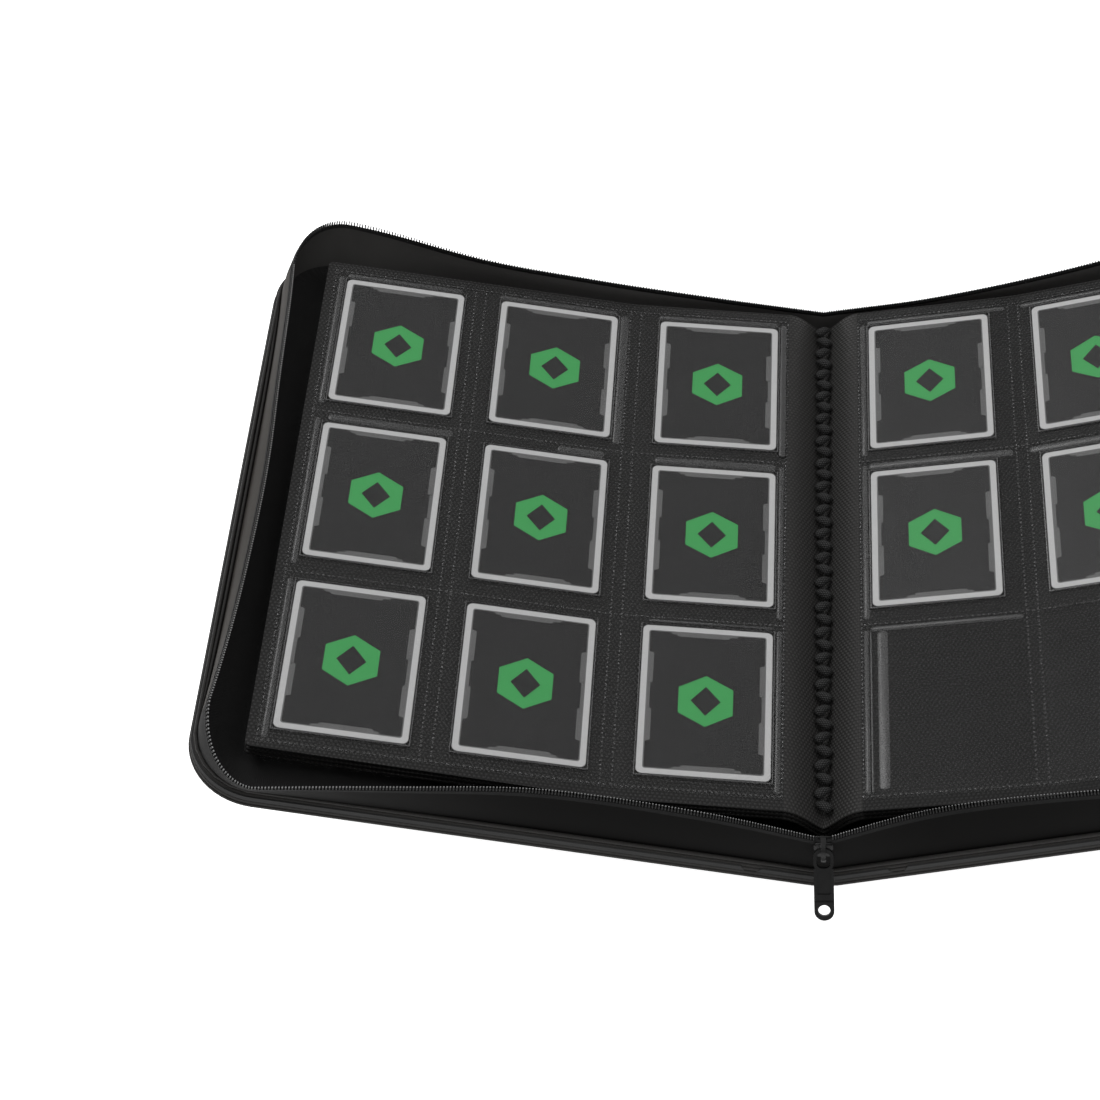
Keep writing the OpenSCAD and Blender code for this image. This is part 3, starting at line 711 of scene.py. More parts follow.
def make_stage():
    reach, edge = 6.0, 40
    us = np.linspace(-reach, reach, edge) / MM
    floor = slab("floor", lambda u, y, h: np.stack([u, y, np.zeros_like(u) + h], -1) * MM,
                 us, us, -20.0, -0.3, [FLOOR], "board")
    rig.stage(floor)
    world = bpy.data.worlds.new("studio")
    world.use_nodes = True
    world.node_tree.nodes["Background"].inputs[0].default_value = (1, 1, 1, 1)
    world.node_tree.nodes["Background"].inputs[1].default_value = 0.62
    bpy.context.scene.world = world
    bpy.context.scene.view_settings.view_transform = "Standard"
    area_light("key", (-1.3, 1.2, 2.4), (0, 0, 0), 1.8, 55)
    area_light("fill", (1.6, -0.6, 2.2), (0, 0, 0), 1.6, 22)


# ---- Covers ----

EDGE_STATIONS = np.array([0, 3, 6.2, 12, 20, 28, 30.3, 33.4, 34.4, 35.4, 36.4, 37.4, 38.4, 39.4,
                          42.5, 50, 80, 120, 170, 220])
# Cover edge from the outer face round to under the lining: soft rolls with grooves between
SHELL_PROFILE = [(12, 0), (2.0, 0), (0.8, 0.25), (0.15, 0.8), (0, 1.5), (0.2, 2.1), (0.8, 2.35),
                 (0.85, 2.5), (0.55, 2.95), (0.6, 3.6), (0.85, 4.1), (1.4, 4.3), (1.45, 4.45),
                 (1.15, 4.9), (1.2, 5.5), (1.45, 6.0), (2.0, 6.2), (2.05, 6.35), (1.8, 6.8),
                 (1.9, 7.4), (2.3, 7.9), (3.1, 8.2), (4.2, 8.25), (12, 8.25)]
LINING_PROFILE = [(12, 7.9), (3.4, 7.95), (2.9, 8.25), (3.4, 8.55), (5, 8.6), (12, 8.6)]


def cover_plate(name, side, profile, materials, slot):
    """A closed plate with a cover's outline, from the centre line out, with a shaped edge."""
    corner = STRAIGHT + np.linspace(0, ARC, 15)
    first = np.concatenate([EDGE_STATIONS, corner])
    d = np.concatenate([first, PATH_ENDS[-1] - first[::-1]])
    rings = []
    for inset, w in profile:
        u, y, _, _ = edge_point(d, inset)
        rings.append(cover_place(side, u, y, w))
    rings = np.array(rings)
    n, m = rings.shape[:2]
    at = np.arange(n * m).reshape(n, m)
    faces = np.stack([at[:-1, :-1], at[1:, :-1], at[1:, 1:], at[:-1, 1:]], -1).reshape(-1, 4).tolist()
    for ring in (at[0], at[-1]):
        for i in range(m // 2 - 1):
            faces.append([int(ring[i]), int(ring[i + 1]), int(ring[m - 2 - i]), int(ring[m - 1 - i])])
    faces.append(at[:, 0].tolist() + at[::-1, -1].tolist())
    u, y, _, _ = edge_point(d, 0)
    uv = np.broadcast_to(np.stack([u, y], -1), (n, m, 2))
    return piece(name, rings, faces, materials, slot, uv=uv)


def make_cover(side):
    label = SIDES[side]
    shell = cover_plate(f"{label}_cover_shell", side, SHELL_PROFILE, [LEATHER], "outer_skin")
    blend_cover(shell, side, 3)
    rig.replaces(shell, f"{label}_skin", "spine_skin")
    lining = cover_plate(f"{label}_cover_lining", side, LINING_PROFILE, [LINING], "lining")
    blend_cover(lining, side, 6.1)
    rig.replaces(lining, f"{label}_lining", "spine_lining")
    make_piping(side)
    make_outer_stitches(side)


def path_stations(start, stop, step):
    """Distances along the edge path, closer together where it bends over the crease."""
    far = PATH_ENDS[-1]
    d = np.linspace(start, stop, max(2, int(round((stop - start) / step)) + 1))
    fine = [x for x in np.arange(CREASE - 22, CREASE + 23, 2) for x in (x, far - x)]
    keep = [x for x in fine if start < x < stop]
    return np.unique(np.round(np.concatenate([d, keep]), 3))


def make_piping(side):
    """Two cords of piping, side by side over the seam between the cover's edge and the wall's foot."""
    d = path_stations(0, PATH_ENDS[-1], 8)
    for name, share, radius, drop in (("cord", 0, PIPING_RADIUS, 0), ("welt", 0.9, 0.85, 0.15)):
        rings = []
        for across, up in circle(radius, 10):
            u, y, nu, ny = edge_point(d, PIPING_INSET - across)
            shift = foot_shift(d) * share
            rings.append(cover_place(side, u - shift * nu, y - shift * ny, COVER_THICKNESS + 0.8 - drop + up))
        obj = sweep(f"{SIDES[side]}_piping_{name}", np.array(rings).transpose(1, 0, 2), [PIPING], "piping")
        blend_cover(obj, side, 5)
        if name == "cord":
            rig.replaces(obj, f"{SIDES[side]}_piping")


STITCH_INSET = 7
STITCH_PITCH = 3.6
STITCH_LENGTH = 2.6
STITCH_RADIUS = 0.32


def make_outer_stitches(side):
    """Line of stitches round the outer face, a little in from the cover's edge."""
    start = 48
    count = int((PATH_ENDS[-1] - 2 * start) / STITCH_PITCH)
    centres = start + (np.arange(count) + 0.5) * STITCH_PITCH
    steps = np.array([-0.5, -0.35, 0.35, 0.5]) * STITCH_LENGTH
    sizes = np.array([0.45, 1, 1, 0.45])
    section = circle(STITCH_RADIUS, 6)
    d = (centres[:, None] + steps)[:, :, None]
    inset = STITCH_INSET + section[:, 0] * sizes[:, None]
    w = -0.1 + section[:, 1] * sizes[:, None]
    u, y, _, _ = edge_point(d, inset)
    obj = many(f"{SIDES[side]}_edge_stitches", cover_place(side, u, y, w), [PIPING], "piping")
    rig.ride(obj, SIDES[side] + "_cover")


# ---- Zip gusset ----

WALL_PARTS = {"near": (0, PATH_ENDS[1]), "outer": (PATH_ENDS[1], PATH_ENDS[2]),
              "far": (PATH_ENDS[2], PATH_ENDS[4])}
# Outside and inside of each part of the wall, in the darker or lighter copies of the gusset cloth that paint light and
# shade on each face
WALL_MATERIALS = {"near": [WALL, WALL], "outer": [WALL_SIDE_LIT, WALL], "far": [WALL, WALL_FAR_LIT]}
WALL_FOLD = 20
OUTER_KEEP = 0.25


def follow_wall(obj, side, part):
    """The near and far runs bend over the crease; the outer run stands up as the cover closes."""
    if part == "outer":
        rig.ride(obj, SIDES[side] + "_cover")
        out = (side * math.cos(TILT), 0, math.sin(TILT))
        foot = cover_place(side, COVER_REACH - WALL_INSET, 0, COVER_THICKNESS)
        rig.squash(obj, SIDES[side] + "_cover_fold", axis=out, anchor=tuple(foot), keep=OUTER_KEEP)
    else:
        blend_cover(obj, side, WALL_FOLD)


def make_wall(side, part):
    label = SIDES[side]
    start, stop = WALL_PARTS[part]
    d = path_stations(start, stop, 4)

    def place(d, up, t):
        return wall_place(side, d, up, t)

    wall = slab(f"{label}_gusset_wall_{part}", place, d, np.linspace(-0.4, 21.2, 9),
                -WALL_HALF, WALL_HALF, WALL_MATERIALS[part], "gusset",
                inner_material=1)
    follow_wall(wall, side, part)
    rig.replaces(wall, f"{label}_gusset_{part}")
    if part != "outer":
        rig.replaces(wall, f"spine_gusset_{part}")
    tape = slab(f"{label}_zip_tape_{part}", place, d, np.linspace(TAPE_BASE, 22.7, 5),
                -WALL_HALF - 0.1, WALL_HALF + 0.1, [TAPE], "zip_tape")
    follow_wall(tape, side, part)
    if part == "near":
        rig.replaces(tape, f"{label}_zip_tape")
    if part != "outer":
        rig.replaces(tape, f"zip_end_{part}")
    make_teeth(side, part)


# Section of a zip tooth: depth through the wall and height above the tape's top
TOOTH_SECTION = np.array([(-0.7, 0.1), (-0.6, 1.3), (-0.3, 1.75), (0.3, 1.75), (0.6, 1.3), (0.7, 0.1),
                          (0.5, -0.8), (-0.5, -0.8)])
# The face of the tooth section that takes the painted highlight: its top
TOOTH_HIGHLIGHT_FACE = (2,)
TOOTH_STEPS = np.array([-0.36, -0.24, 0.24, 0.36])
TOOTH_SIZES = np.array([0.8, 1, 1, 0.8])
SLIDER_HALF = 4.5


def make_teeth(side, part):
    start, stop = WALL_PARTS[part]
    if part == "near":
        start += SLIDER_HALF
    count = int((stop - start) / TOOTH_PITCH)
    centres = start + (np.arange(count) + 0.5) * (stop - start) / count
    d = (centres[:, None] + TOOTH_STEPS)[:, :, None]
    t = TOOTH_SECTION[:, 0] * TOOTH_SIZES[:, None]
    up = ZIP_LENGTH_UP - 0.9 + TOOTH_SECTION[:, 1] * TOOTH_SIZES[:, None]
    # Tops of the teeth take the painted highlight, except on the far run
    tip = () if part == "far" else TOOTH_HIGHLIGHT_FACE
    sides = [int(k in tip) for _ in TOOTH_STEPS[1:] for k in range(len(TOOTH_SECTION))]
    obj = many(f"{SIDES[side]}_zip_teeth_{part}", wall_place(side, d, up, t), [TEETH, TEETH_HIGHLIGHT],
               "zip_teeth", face_materials=sides * count + [0] * (2 * count))
    follow_wall(obj, side, part)
    if part == "near":
        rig.replaces(obj, f"{SIDES[side]}_zip_teeth")


# ---- Leaves ----

def leaf_level(n, height):
    return height - (n - 1) * LEAF_PITCH


# Radius of the outer corners, and how far the near edge draws in towards them
LEAF_CORNER = 2.5
LEAF_TAPER = 3.6


def leaf_edges(s):
    """Near and far edges of a leaf at a distance along it: rounded corners, and a slight taper."""
    beyond = np.clip(s - (LEAF_LENGTH - LEAF_CORNER), 0, LEAF_CORNER)
    corner = LEAF_CORNER - np.sqrt(LEAF_CORNER ** 2 - beyond ** 2)
    taper = LEAF_TAPER * np.clip((s - 60) / (LEAF_LENGTH - 60), 0, 1)
    return LEAF_LOW + taper + corner, LEAF_HIGH - corner


def margin_place(side, n):
    """The sheet's path from the fold in the gutter up to the leaf's shoulder, by a share from 0 to 1."""
    floor_z = FOLD_FLOOR + (LEAF_COUNT - n) * FOLD_PITCH + 0.6
    slope = math.radians(NEAR_SLOPE)
    level = leaf_level(n, BACKING[0])
    top = np.array([SHOULDER[0] - level * math.sin(slope), SHOULDER[1] + level * math.cos(slope)])
    points = np.array([(0, floor_z - 0.4), (4.5, floor_z + 1.5), (10, top[1] - 1.6), top])

    def place(share, y, h):
        t = np.asarray(share, float)[..., None]
        q = 1 - t
        path = (q ** 3 * points[0] + 3 * q * q * t * points[1] + 3 * q * t * t * points[2]
                + t ** 3 * points[3])
        along = (q * q * (points[1] - points[0]) + 2 * q * t * (points[2] - points[1])
                 + t * t * (points[3] - points[2]))
        along /= np.linalg.norm(along, axis=-1, keepdims=True)
        x = path[..., 0] - h * along[..., 1]
        z = path[..., 1] + h * along[..., 0]
        return np.stack([side * x, y + np.zeros_like(x), z], -1) * MM

    return place


MARGIN_LENGTH = 28
# Share of the top left margin that bends with the covers; the rest bends as the page turns
MARGIN_SPLIT = 0.93


def make_margin(side, n, name, start, stop, blend):
    """Margin of a sheet between the sewn fold and the shoulder, from one share of it to another."""
    place = margin_place(side, n)
    thickness = BACKING[1] - BACKING[0]

    def by_length(along, y, h):
        return place(along / MARGIN_LENGTH, y, h)

    along = np.linspace(start, stop, int(24 * (stop - start)) + 2) * MARGIN_LENGTH
    obj = slab(name, by_length, along, np.linspace(LEAF_LOW, LEAF_HIGH, 40), 0, thickness,
               [MARGIN], "leaf_sheet")
    a, b, first, last = blend
    ends = [place(np.array(share), 0, 0) for share in (first, last)]
    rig.blend(obj, a, b, start=tuple(ends[0]), end=tuple(ends[1]))
    return obj


def make_leaf(side, n, body, node):
    stations = np.concatenate([np.arange(0, LEAF_LENGTH - LEAF_CORNER, 6),
                               LEAF_LENGTH - LEAF_CORNER * (1 - np.sin(np.radians([0, 30, 55, 75, 90])))])

    def place(s, y, h):
        return leaf_place(side, s, y, h)

    # Right-hand leaves take the darker copy of the plastic: painted shade.
    obj = slab(f"{node}_sheet", place, stations, np.linspace(LEAF_LOW, LEAF_HIGH, 24),
               leaf_level(n, BACKING[0]), leaf_level(n, BACKING[1]),
               [SHEET if side == LEFT else SHEET_SHADED], "leaf_sheet", edges=leaf_edges)
    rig.ride(obj, body)
    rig.replaces(obj, node)


# Height of the pocket film where it is pressed on to the leaf, and its thickness
FILM_LOW = -0.72
FILM_THICKNESS = 0.2


def film_height(s, y, full):
    """Height of the pocket film: down at the welds, up over the cards."""
    gap = np.full(np.broadcast(s, y).shape, 99.0)
    for line in COLUMN_WELDS[1:]:
        gap = np.minimum(gap, np.abs(s - line))
    for line in ROW_WELDS:
        gap = np.minimum(gap, np.abs(y - line))
    rise = np.clip(gap / 4, 0, 1)
    rise = rise * rise * (3 - 2 * rise)
    filled = 0.28 * rise + FILM_LOW * (1 - rise)
    wave = 0.12 * np.sin(s / 9 + y / 31) + 0.1 * np.sin(y / 13 - s / 23)
    empty = FILM_LOW + (0.45 + wave) * rise
    is_full = np.interp(y, [-60, -54], [full, 1.0])
    return is_full * filled + (1 - is_full) * empty


def make_film(side, n, body, node, face, bottom_full=1.0):
    """Clear film over one face of a leaf, with its weld lines."""
    def place(s, y, h):
        height = h if face == "front" else BACKING[0] + BACKING[1] - h
        return leaf_place(side, s, y, leaf_level(n, height))

    s = np.arange(0.6, 246.01, 2.5)
    y = np.arange(-157.5, 158.1, 2.5)
    flat = face == "back" or n > 1

    def height(s, y):
        if flat:
            return np.full(np.broadcast(s, y).shape, FILM_LOW)
        return film_height(s, y, bottom_full)

    sheet = slab(f"{node}_film", place, s, y, height, lambda s, y: height(s, y) + FILM_THICKNESS,
                 [FILM], "pocket_film")
    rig.ride(sheet, body)
    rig.replaces(sheet, node)
    make_welds(place, body, f"{node}_welds")


# Raised bands of film, in a lighter and less clear film that paints their highlights: from and to along the leaf, then
# across it, and height
PAGE_BANDS = {
    LEFT: [
        (1.4, 4.6, -51, 49, 0.5), (1.4, 4.6, -154, -58, 0.5), (85.9, 90.4, 57, 150, 0.3),
        (238.8, 242.6, 57, 150, 0.7), (239.2, 242.6, -50, 47, 0.6), (239.2, 242.6, -154, -59, 0.6),
        (6, 68, 46, 50.4, 0.3), (94, 118, 46, 50.4, 0.25), (172, 236, 46, 50.4, 0.3),
        (6, 66, -57.6, -56, 0.3), (6, 70, 149.6, 152.6, 0.4), (92, 156, 149.6, 152.6, 0.4),
        (176, 238, 149.6, 152.6, 0.4)],
    RIGHT: [
        (1.4, 4.6, 55.5, 150, 0.5), (1.4, 4.6, -51, 49, 0.5), (1.4, 4, -154, -58, 0.4),
        (4.4, 5.6, -154, -60, 1), (8, 13, -152, -59, 0.1), (5, 78, 149.6, 152.6, 0.5),
        (5, 78, 46, 50.4, 0.4), (5, 78, -59, -56, 0.5), (86, 160, 149.6, 152.6, 0.4),
        (86, 160, 46, 50.4, 0.3), (172, 240, 46, 50.4, 0.3), (238.8, 242.6, 57, 150, 0.6),
        (238.8, 242.6, -50, 47, 0.6)],
}
BAND_BASE = -0.74
# The band at the mouth of the pocket whose card slides lies on top of the film
MOUTH_BAND = (1.4, 4.6, 55.5, 150, 0.1, 0.42)


def make_bands(side, body, name):
    """Puffed-up bands of film between the weld lines and the cards, in a lighter film that is a painted highlight."""
    rings = []
    bands = [(*band, BAND_BASE) for band in PAGE_BANDS[side]]
    if side == LEFT:
        bands.append(MOUTH_BAND)
    for s0, s1, y0, y1, rise, base in bands:
        width, height = s1 - s0, y1 - y0
        layers = []
        for inset, share in ((0, 0), (0.12, 0.6), (0.3, 1)):
            inset *= min(width, height)
            outline = rounded(width - 2 * inset, height - 2 * inset, (min(width, height) / 2 - inset) * 0.9)
            points = np.array(outline) + ((s0 + s1) / 2, (y0 + y1) / 2)
            layers.append(leaf_place(side, points[:, 0], points[:, 1], base + share * (rise + 0.3)))
        rings.append(layers)
    obj = many(name, rings, [BAND_HIGHLIGHT], "pocket_film", sharp=60)
    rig.ride(obj, body)


BEAD_STEPS = np.array([-0.5, -0.32, 0.32, 0.5])
BEAD_SIZES = np.array([0.4, 1, 1, 0.4])
BEAD_PITCH, BEAD_LENGTH, BEAD_HALF = 2.6, 1.5, 0.5


def make_welds(place, body, name):
    """Rows of small pressed beads along the weld lines; those at the pockets' mouths lie lowest."""
    section = circle(1, 6)
    along = BEAD_STEPS[:, None] * BEAD_LENGTH + 0 * section[:, 0]
    across = section[:, 0] * BEAD_HALF * BEAD_SIZES[:, None]
    up = section[:, 1] * BEAD_SIZES[:, None]
    rings = []
    for line in ROW_WELDS:
        for centre in np.arange(COLUMN_WELDS[0] + 1.5, COLUMN_WELDS[-1], BEAD_PITCH):
            rings.append(place(centre + along, line + across, -0.62 + 0.25 * up))
    for line in COLUMN_WELDS:
        level, rise = (-0.77, 0.13) if line == COLUMN_WELDS[0] else (-0.62, 0.25)
        for centre in np.arange(-155, 154, BEAD_PITCH):
            rings.append(place(line + across, centre + along, level + rise * up))
    obj = many(name, rings, [WELD], "pocket_film")
    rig.ride(obj, body)


# ---- Cards ----

def rounded(width, height, radius, steps=6):
    """Outline of a rounded rectangle, anticlockwise."""
    points = []
    for corner, (sx, sy) in enumerate(((1, 1), (-1, 1), (-1, -1), (1, -1))):
        for k in range(steps + 1):
            a = math.pi / 2 * (corner + k / steps)
            points.append((sx * (width / 2 - radius) + radius * math.cos(a),
                           sy * (height / 2 - radius) + radius * math.sin(a)))
    return points


NOTCH_SLANT = 0.9


def notch(steps):
    """Stepped strip along an edge, from (from, to, depth) steps, each inside the one before."""
    rise, fall, level = [], [], 0
    for start, stop, depth in steps:
        rise += [(start, level), (start + NOTCH_SLANT, depth)]
        fall = [(stop - NOTCH_SLANT, depth), (stop, level)] + fall
        level = depth
    return rise + fall


def turned(points, angle, shift):
    c, s = math.cos(angle), math.sin(angle)
    return [(x * c - y * s + shift[0], x * s + y * c + shift[1]) for x, y in points]


FACE = (56.8, 81.8)
# Stepped strips inside the border: distances along the edge from its middle, and depth
END_NOTCH = [(-16.5, 16.5, 1.2), (-12.5, 13.5, 2.4)]
LEFT_NOTCHES = ([(8.6, 27.9, 2.3)], [(-25.4, -5.5, 2.3)], [(-7, 10, 1.2)])
RIGHT_NOTCHES = ([(4.1, 23.4, 2.3)], [(-29.3, -10, 2.3)], [(-11.5, 6, 1.2)])
# Plain emblem: a hexagon with a diamond in it
EMBLEM_RADIUS = 15
DIAMOND_HALF = (7.2, 8.6)


def card_layers():
    """Layers of a printed card: outline, lowest and highest height, and material."""
    half_w, half_h = FACE[0] / 2 - 0.6, FACE[1] / 2 - 0.6
    layers = [(rounded(*CARD, CARD_CORNER), -CARD_THICKNESS, -0.08, 0),
              (rounded(CARD[0] - 0.5, CARD[1] - 0.5, CARD_CORNER - 0.25), -0.08, -0.05, 1),
              (rounded(*FACE, 1.4), -0.05, -0.035, 5),
              (rounded(2 * half_w, 2 * half_h, 1.0), -0.035, -0.02, 2)]
    for angle, place in ((0, (1.5, -half_h)), (math.pi, (-1.5, half_h))):
        layers.append((turned(notch(END_NOTCH), angle, place), -0.02, -0.01, 3))
    for runs, x, turn in ((LEFT_NOTCHES, -half_w, -1), (RIGHT_NOTCHES, half_w, 1)):
        for run in runs:
            strip = [(turn * -depth + x, along) for along, depth in notch(run)]
            layers.append((strip[::turn], -0.02, -0.01, 3))
    hexagon = [(EMBLEM_RADIUS * math.sin(a), EMBLEM_RADIUS * math.cos(a))
               for a in np.radians(np.arange(0, 360, 60))]
    across, along = DIAMOND_HALF
    diamond = [(across, 0), (0, along), (-across, 0), (0, -along)]
    layers.append((hexagon[::-1], -0.02, -0.01, 4))
    layers.append((diamond, -0.01, 0.0, 2))
    return layers


def make_card(side, column, row, body, name):
    """One printed card, in thin layers of ink on card stock."""
    verts, faces, indexes = [], [], []
    s0, y0 = COLUMNS[column], ROWS[row]
    for outline, low, high, material in card_layers():
        base, n = len(verts), len(outline)
        for h in (low, high):
            for x, y in outline:
                verts.append(leaf_place(side, s0 + side * x, y0 + y, h))
        faces.append(list(range(base + n, base + 2 * n)))
        faces.append(list(range(base + n - 1, base - 1, -1)))
        for i in range(n):
            j = (i + 1) % n
            faces.append([base + i, base + j, base + n + j, base + n + i])
        indexes += [material] * (n + 2)
    obj = piece(name, verts, faces, [CARD_EDGE, CARD_BORDER, CARD_FACE, CARD_NOTCH, CARD_EMBLEM, CARD_LINE],
                "card", face_materials=indexes)
    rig.ride(obj, body)
    return obj


def make_sleeve(side, column, row, body, name):
    """Clear sleeve round a card, with a pressed seam along three sides."""
    s0, y0 = COLUMNS[column], ROWS[row]
    verts, faces, indexes = [], [], []

    def box(x0, x1, ya, yb, low, high, material):
        base = len(verts)
        for h in (low, high):
            for x, y in ((x0, ya), (x1, ya), (x1, yb), (x0, yb)):
                verts.append(leaf_place(side, s0 + side * x, y0 + y, h))
        for face in ((0, 1, 2, 3), (4, 5, 6, 7), (0, 1, 5, 4), (1, 2, 6, 5), (2, 3, 7, 6), (3, 0, 4, 7)):
            faces.append([base + i for i in face])
            indexes.append(material)

    half_w, half_h = SLEEVE[0] / 2, SLEEVE[1] / 2
    seam = 0.55
    box(-half_w + seam, half_w - seam, -half_h + seam, half_h, 0.04, 0.1, 0)
    for x in (-half_w, half_w - seam):
        box(x, x + seam, -half_h, half_h, -0.6, 0.12, 1)
    box(-half_w + seam, half_w - seam, -half_h, -half_h + seam, -0.6, 0.12, 1)
    box(-half_w + seam, half_w - seam, half_h - 0.25, half_h, -0.3, 0.04, 1)
    obj = piece(name, verts, faces, [SLEEVE_FILM, SLEEVE_RIM], "card_sleeve", face_materials=indexes)
    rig.ride(obj, body)
    return obj


def make_page_cards(side):
    label = PAGES[side]
    body = "turning_page" if side == LEFT else "right_leaves"
    for column in range(3):
        for row in range(3):
            loose = side == LEFT and (column, row) == (0, 0)
            if side == RIGHT and row == 2:
                continue
            on = "loose_card" if loose else body
            card = make_card(side, column, row, on, f"{label}_card_{column}_{row}")
            sleeve = make_sleeve(side, column, row, on, f"{label}_sleeve_{column}_{row}")
            if loose:
                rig.replaces(card, "loose_card")
                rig.replaces(sleeve, "loose_card_sleeve")
            elif (column, row) == (1, 0):
                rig.replaces(card, f"{label}_page_cards")
                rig.replaces(sleeve, f"{label}_page_sleeves")


# ---- Gutter ----

# Across a lobe's length: how thick it is, from its round end to its thin end
LOBE_SIZES = ((0, 0.2), (0.03, 0.6), (0.1, 0.88), (0.22, 1), (0.36, 0.98), (0.5, 0.9), (0.64, 0.77),
              (0.78, 0.62), (0.92, 0.45), (1, 0.2))


def make_lace():
    """Thick braided lace: arched lobes that slant to alternate sides, each tucked under the next."""
    share, size = (np.array(v) for v in zip(*LOBE_SIZES))
    turn = np.arange(14) * 2 * math.pi / 14
    first = LEAF_HIGH - 4
    rings, uvs = [], []
    for k in range(LOBES):
        way = 1 if k % 2 == 0 else -1
        path = np.stack([way * (share - 0.5) * LOBE_LENGTH,
                         first - k * LOBE_PITCH + (share - 0.5) * LOBE_SLANT,
                         LACE_HEIGHT + 1.2 * np.sin(math.pi * share) - 0.5 * share ** 3], -1)
        along = np.gradient(path, axis=0)
        along /= np.linalg.norm(along, axis=1, keepdims=True)
        sideways = np.cross(along, (0, 0, 1))
        sideways /= np.linalg.norm(sideways, axis=1, keepdims=True)
        above = np.cross(sideways, along)
        reach = (size * LOBE_RADIUS)[:, None, None]
        rings.append(path[:, None] + reach * (np.cos(turn)[None, :, None] * sideways[:, None]
                                              + 0.9 * np.sin(turn)[None, :, None] * above[:, None]))
        around = np.abs((turn + math.pi) % (2 * math.pi) - math.pi) * LOBE_RADIUS
        uvs.append(np.stack(np.broadcast_arrays(around[None, :], (share * LOBE_LENGTH)[:, None]), -1))
    obj = many("gutter_lace", np.array(rings) * MM, [LACE], "binding_thread", uv=np.array(uvs))
    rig.ride(obj, "spine")
    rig.replaces(obj, "binding_stitch")


def make_margins():
    for side in (LEFT, RIGHT):
        body = LEAVES[side]
        for n in range(1, LEAF_COUNT + 1):
            name = f"{PAGES[side]}_margin_{n}"
            if side == LEFT and n == 1:
                lower = make_margin(side, n, name + "_lower", 0, MARGIN_SPLIT,
                                    ("spine", body, 0.05, MARGIN_SPLIT))
                make_margin(side, n, name + "_upper", MARGIN_SPLIT, 1,
                            (body, "turning_page", MARGIN_SPLIT, 1))
                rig.replaces(lower, "gutter_folds")
            else:
                make_margin(side, n, name, 0, 1, ("spine", body, 0.05, 0.9))


# ---- Slider and pull tab ----

SLIDER_PLANE = -173.3
SLIDER_BASE = 21.6
TAB_PIVOT = (-178.0, 30.0)
TAB_SLANT = math.radians(33)
TAB_LENGTH = 34.5
TAB_WIDTH = 9.2
TAB_THICKNESS = 1.6
TAB_HOLE = 2.8


def metal_piece(name, bm, sharp):
    """The finished bmesh as a smooth-shaded metal piece, with edges over an angle kept sharp."""
    mesh = bpy.data.meshes.new(name)
    bm.to_mesh(mesh)
    bm.free()
    mesh.materials.append(METAL)
    mesh.polygons.foreach_set("use_smooth", [True] * len(mesh.polygons))
    mesh.set_sharp_from_angle(angle=math.radians(sharp))
    obj = bpy.data.objects.new(name, mesh)
    bpy.context.scene.collection.objects.link(obj)
    return obj


def prism(bm, outline, place, low, high):
    """An outline raised between two depths. Returns its faces, with the two ends first."""
    rings = [[bm.verts.new(place(x, y, d)) for x, y in outline] for d in (low, high)]
    n = len(outline)
    faces = [bm.faces.new(rings[0]), bm.faces.new(rings[1][::-1])]
    for i in range(n):
        j = (i + 1) % n
        faces.append(bm.faces.new([rings[0][i], rings[1][i], rings[1][j], rings[0][j]]))
    return faces


def solid(name, outlines, place, bevel, slot):
    """Prisms with softened edges. Each outline has its lowest and highest depth."""
    bm = bmesh.new()
    for outline, low, high in outlines:
        faces = prism(bm, outline, place, low, high)
        bmesh.ops.recalc_face_normals(bm, faces=faces)
        edges = {e for f in faces[:2] for e in f.edges}
        bmesh.ops.bevel(bm, geom=list(edges), offset=bevel * MM, segments=2, affect="EDGES",
                        clamp_overlap=True)
    obj = metal_piece(name, bm, 40)
    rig.slot(obj, slot)
    return obj


def make_slider():
    def upright(x, z, y):
        return Vector((x, SLIDER_PLANE + y, SLIDER_BASE + z)) * MM

    plate = [(x, y + 7.4) for x, y in rounded(8.8, 5.2, 1.4)]
    low = [(x, y + 3.3) for x, y in rounded(7.4, 6.4, 1.2)]
    post = [(-1.3, 8.8), (1.3, 8.8), (1.3, 9.9), (-1.3, 9.9)]
    body = solid("slider_plates", [(plate, -2.6, -1.3), (low, -2.5, -1.4), (plate, 1.3, 2.6),
                                   (low, 1.4, 2.5), (post, -2.3, 2.3)],
                 upright, 0.35, "slider_metal")
    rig.ride(body, "slider")
    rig.replaces(body, "slider_body")

    def sideways(y, z, x):
        return Vector((x, SLIDER_PLANE - 3.4 + y, SLIDER_BASE + 1.8 + z)) * MM

    depth = 4.0
    arch = [(1.0, 0), (-depth + 1.6, 0), (-depth + 0.5, 0.5), (-depth, 1.6), (-depth, 7.4),
            (-depth + 0.5, 8.5), (-depth + 1.6, 9), (1.0, 9), (1.0, 7.6), (-depth + 1.9, 7.6),
            (-depth + 1.4, 7.1), (-depth + 1.4, 1.9), (-depth + 1.9, 1.4), (1.0, 1.4)]
    bridge = solid("slider_loop", [(arch, -1.2, 1.2)], sideways, 0.3, "slider_metal")
    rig.ride(bridge, "slider")
    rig.replaces(bridge, "slider_bridge")


def ring_solid(bm, outer, inner, place, low, high):
    """A flat frame between two outlines with the same number of points."""
    n = len(outer)
    v = [[bm.verts.new(place(x, y, d)) for x, y in loop] for loop in (outer, inner) for d in (low, high)]
    for i in range(n):
        j = (i + 1) % n
        bm.faces.new([v[0][i], v[0][j], v[1][j], v[1][i]])
        bm.faces.new([v[2][j], v[2][i], v[3][i], v[3][j]])
        bm.faces.new([v[1][i], v[1][j], v[3][j], v[3][i]])
        bm.faces.new([v[0][j], v[0][i], v[2][i], v[2][j]])


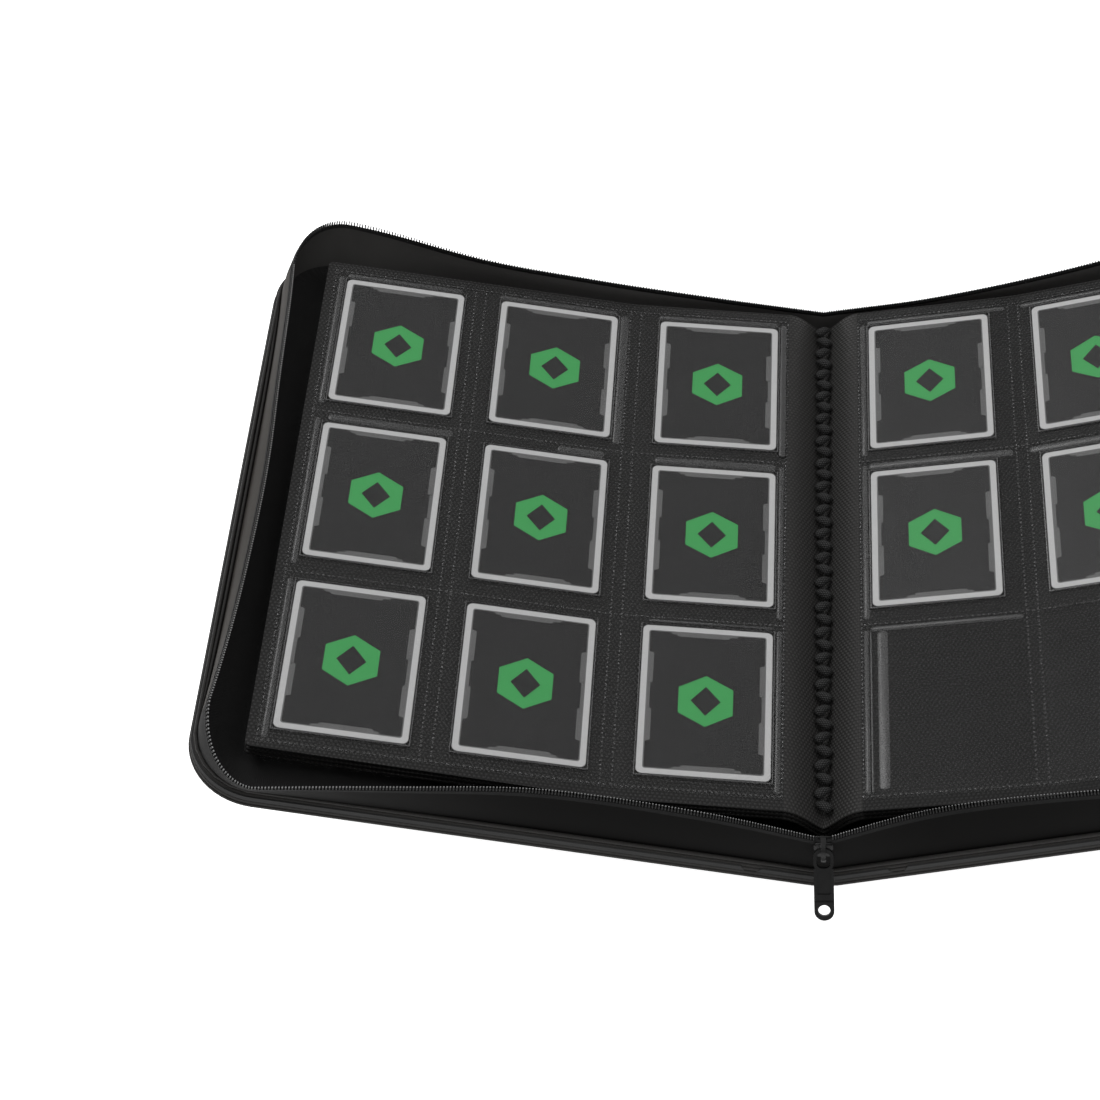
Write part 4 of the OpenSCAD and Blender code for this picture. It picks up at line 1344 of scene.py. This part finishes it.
def make_tab():
    """Pull tab: a window frame at the top, a sunk panel, and a round hole near the tip."""
    c, s = math.cos(TAB_SLANT), math.sin(TAB_SLANT)

    def hang(x, along, depth):
        """along runs down the tab from its pivot, and depth stands out from its middle."""
        return Vector((x, TAB_PIVOT[0] - along * s - depth * c, TAB_PIVOT[1] - along * c + depth * s)) * MM

    half = TAB_THICKNESS / 2
    bm = bmesh.new()
    window_outer = [(x, y + 4.3) for x, y in rounded(TAB_WIDTH, 11, 3.8)]
    window_inner = [(x, y + 4.5) for x, y in rounded(TAB_WIDTH - 2.8, 7.8, 2.6)]
    ring_solid(bm, window_outer, window_inner, hang, -half - 0.25, half + 0.25)
    steps = 28
    tip = TAB_LENGTH - TAB_WIDTH / 2
    outer, inner = [], []
    for k in range(steps):
        a = 2 * math.pi * (k + 0.5) / steps
        x, y = math.cos(a), math.sin(a)
        if y > 0:
            outer.append((TAB_WIDTH / 2 * x, tip + TAB_WIDTH / 2 * y))
        else:
            outer.append((math.copysign(TAB_WIDTH / 2, x) * min(1, abs(x) * 1.6),
                          tip - 5.5 * min(1, -y * 1.6)))
        inner.append((TAB_HOLE * x, TAB_LENGTH - 5 + TAB_HOLE * y))
    ring_solid(bm, outer, inner, hang, -half, half)
    neck = [(x, y + 16.9) for x, y in rounded(TAB_WIDTH, 16.8, 0.8)]
    panel = [(x, y + 15.9) for x, y in rounded(TAB_WIDTH - 2.8, 11, 0.7)]
    ring_solid(bm, neck, panel, hang, -half, half)
    prism(bm, panel, hang, -half + 0.4, half - 0.4)
    bmesh.ops.recalc_face_normals(bm, faces=bm.faces)
    obj = metal_piece("pull_tab_plate", bm, 35)
    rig.slot(obj, "slider_metal")
    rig.ride(obj, "pull_tab")
    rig.replaces(obj, "pull_tab")


# ---- CAD nodes that stay in view ----

def paint_kept_nodes():
    """Gives each CAD node that stays the material of its slot."""
    for name, node in frame["nodes"].items():
        if node.hide_render:
            continue
        for key, material in (("board", BOARD), ("padding", FOAM), ("binding_strip", BINDING),
                              ("pockets", FILM)):
            if key in name:
                for holder in node.material_slots:
                    holder.material = material


make_camera()
make_stage()
for side in (LEFT, RIGHT):
    make_cover(side)
    for part in WALL_PARTS:
        make_wall(side, part)
make_margins()
make_leaf(LEFT, 1, "turning_page", "turning_leaf")
make_leaf(LEFT, 2, "left_leaves", "left_leaf_2")
make_leaf(LEFT, 3, "left_leaves", "left_leaf_3")
for number in range(1, LEAF_COUNT + 1):
    make_leaf(RIGHT, number, "right_leaves", f"right_leaf_{number}")
make_film(LEFT, 1, "turning_page", "turning_leaf_front_pockets", "front")
make_film(LEFT, 1, "turning_page", "turning_leaf_back_pockets", "back")
make_film(LEFT, 2, "left_leaves", "left_leaf_2_pockets", "front")
make_film(RIGHT, 1, "right_leaves", "right_leaf_1_front_pockets", "front", bottom_full=0.0)
make_bands(LEFT, "turning_page", "left_page_bands")
make_bands(RIGHT, "right_leaves", "right_page_bands")
make_page_cards(LEFT)
make_page_cards(RIGHT)
make_lace()
make_slider()
make_tab()
paint_kept_nodes()

with open("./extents.json", "w") as sizes:
    boxes = {"cad": CAD_BOX, "visual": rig.bounds()}
    json.dump({name: [list(map(float, corner)) for corner in box] for name, box in boxes.items()}, sizes)
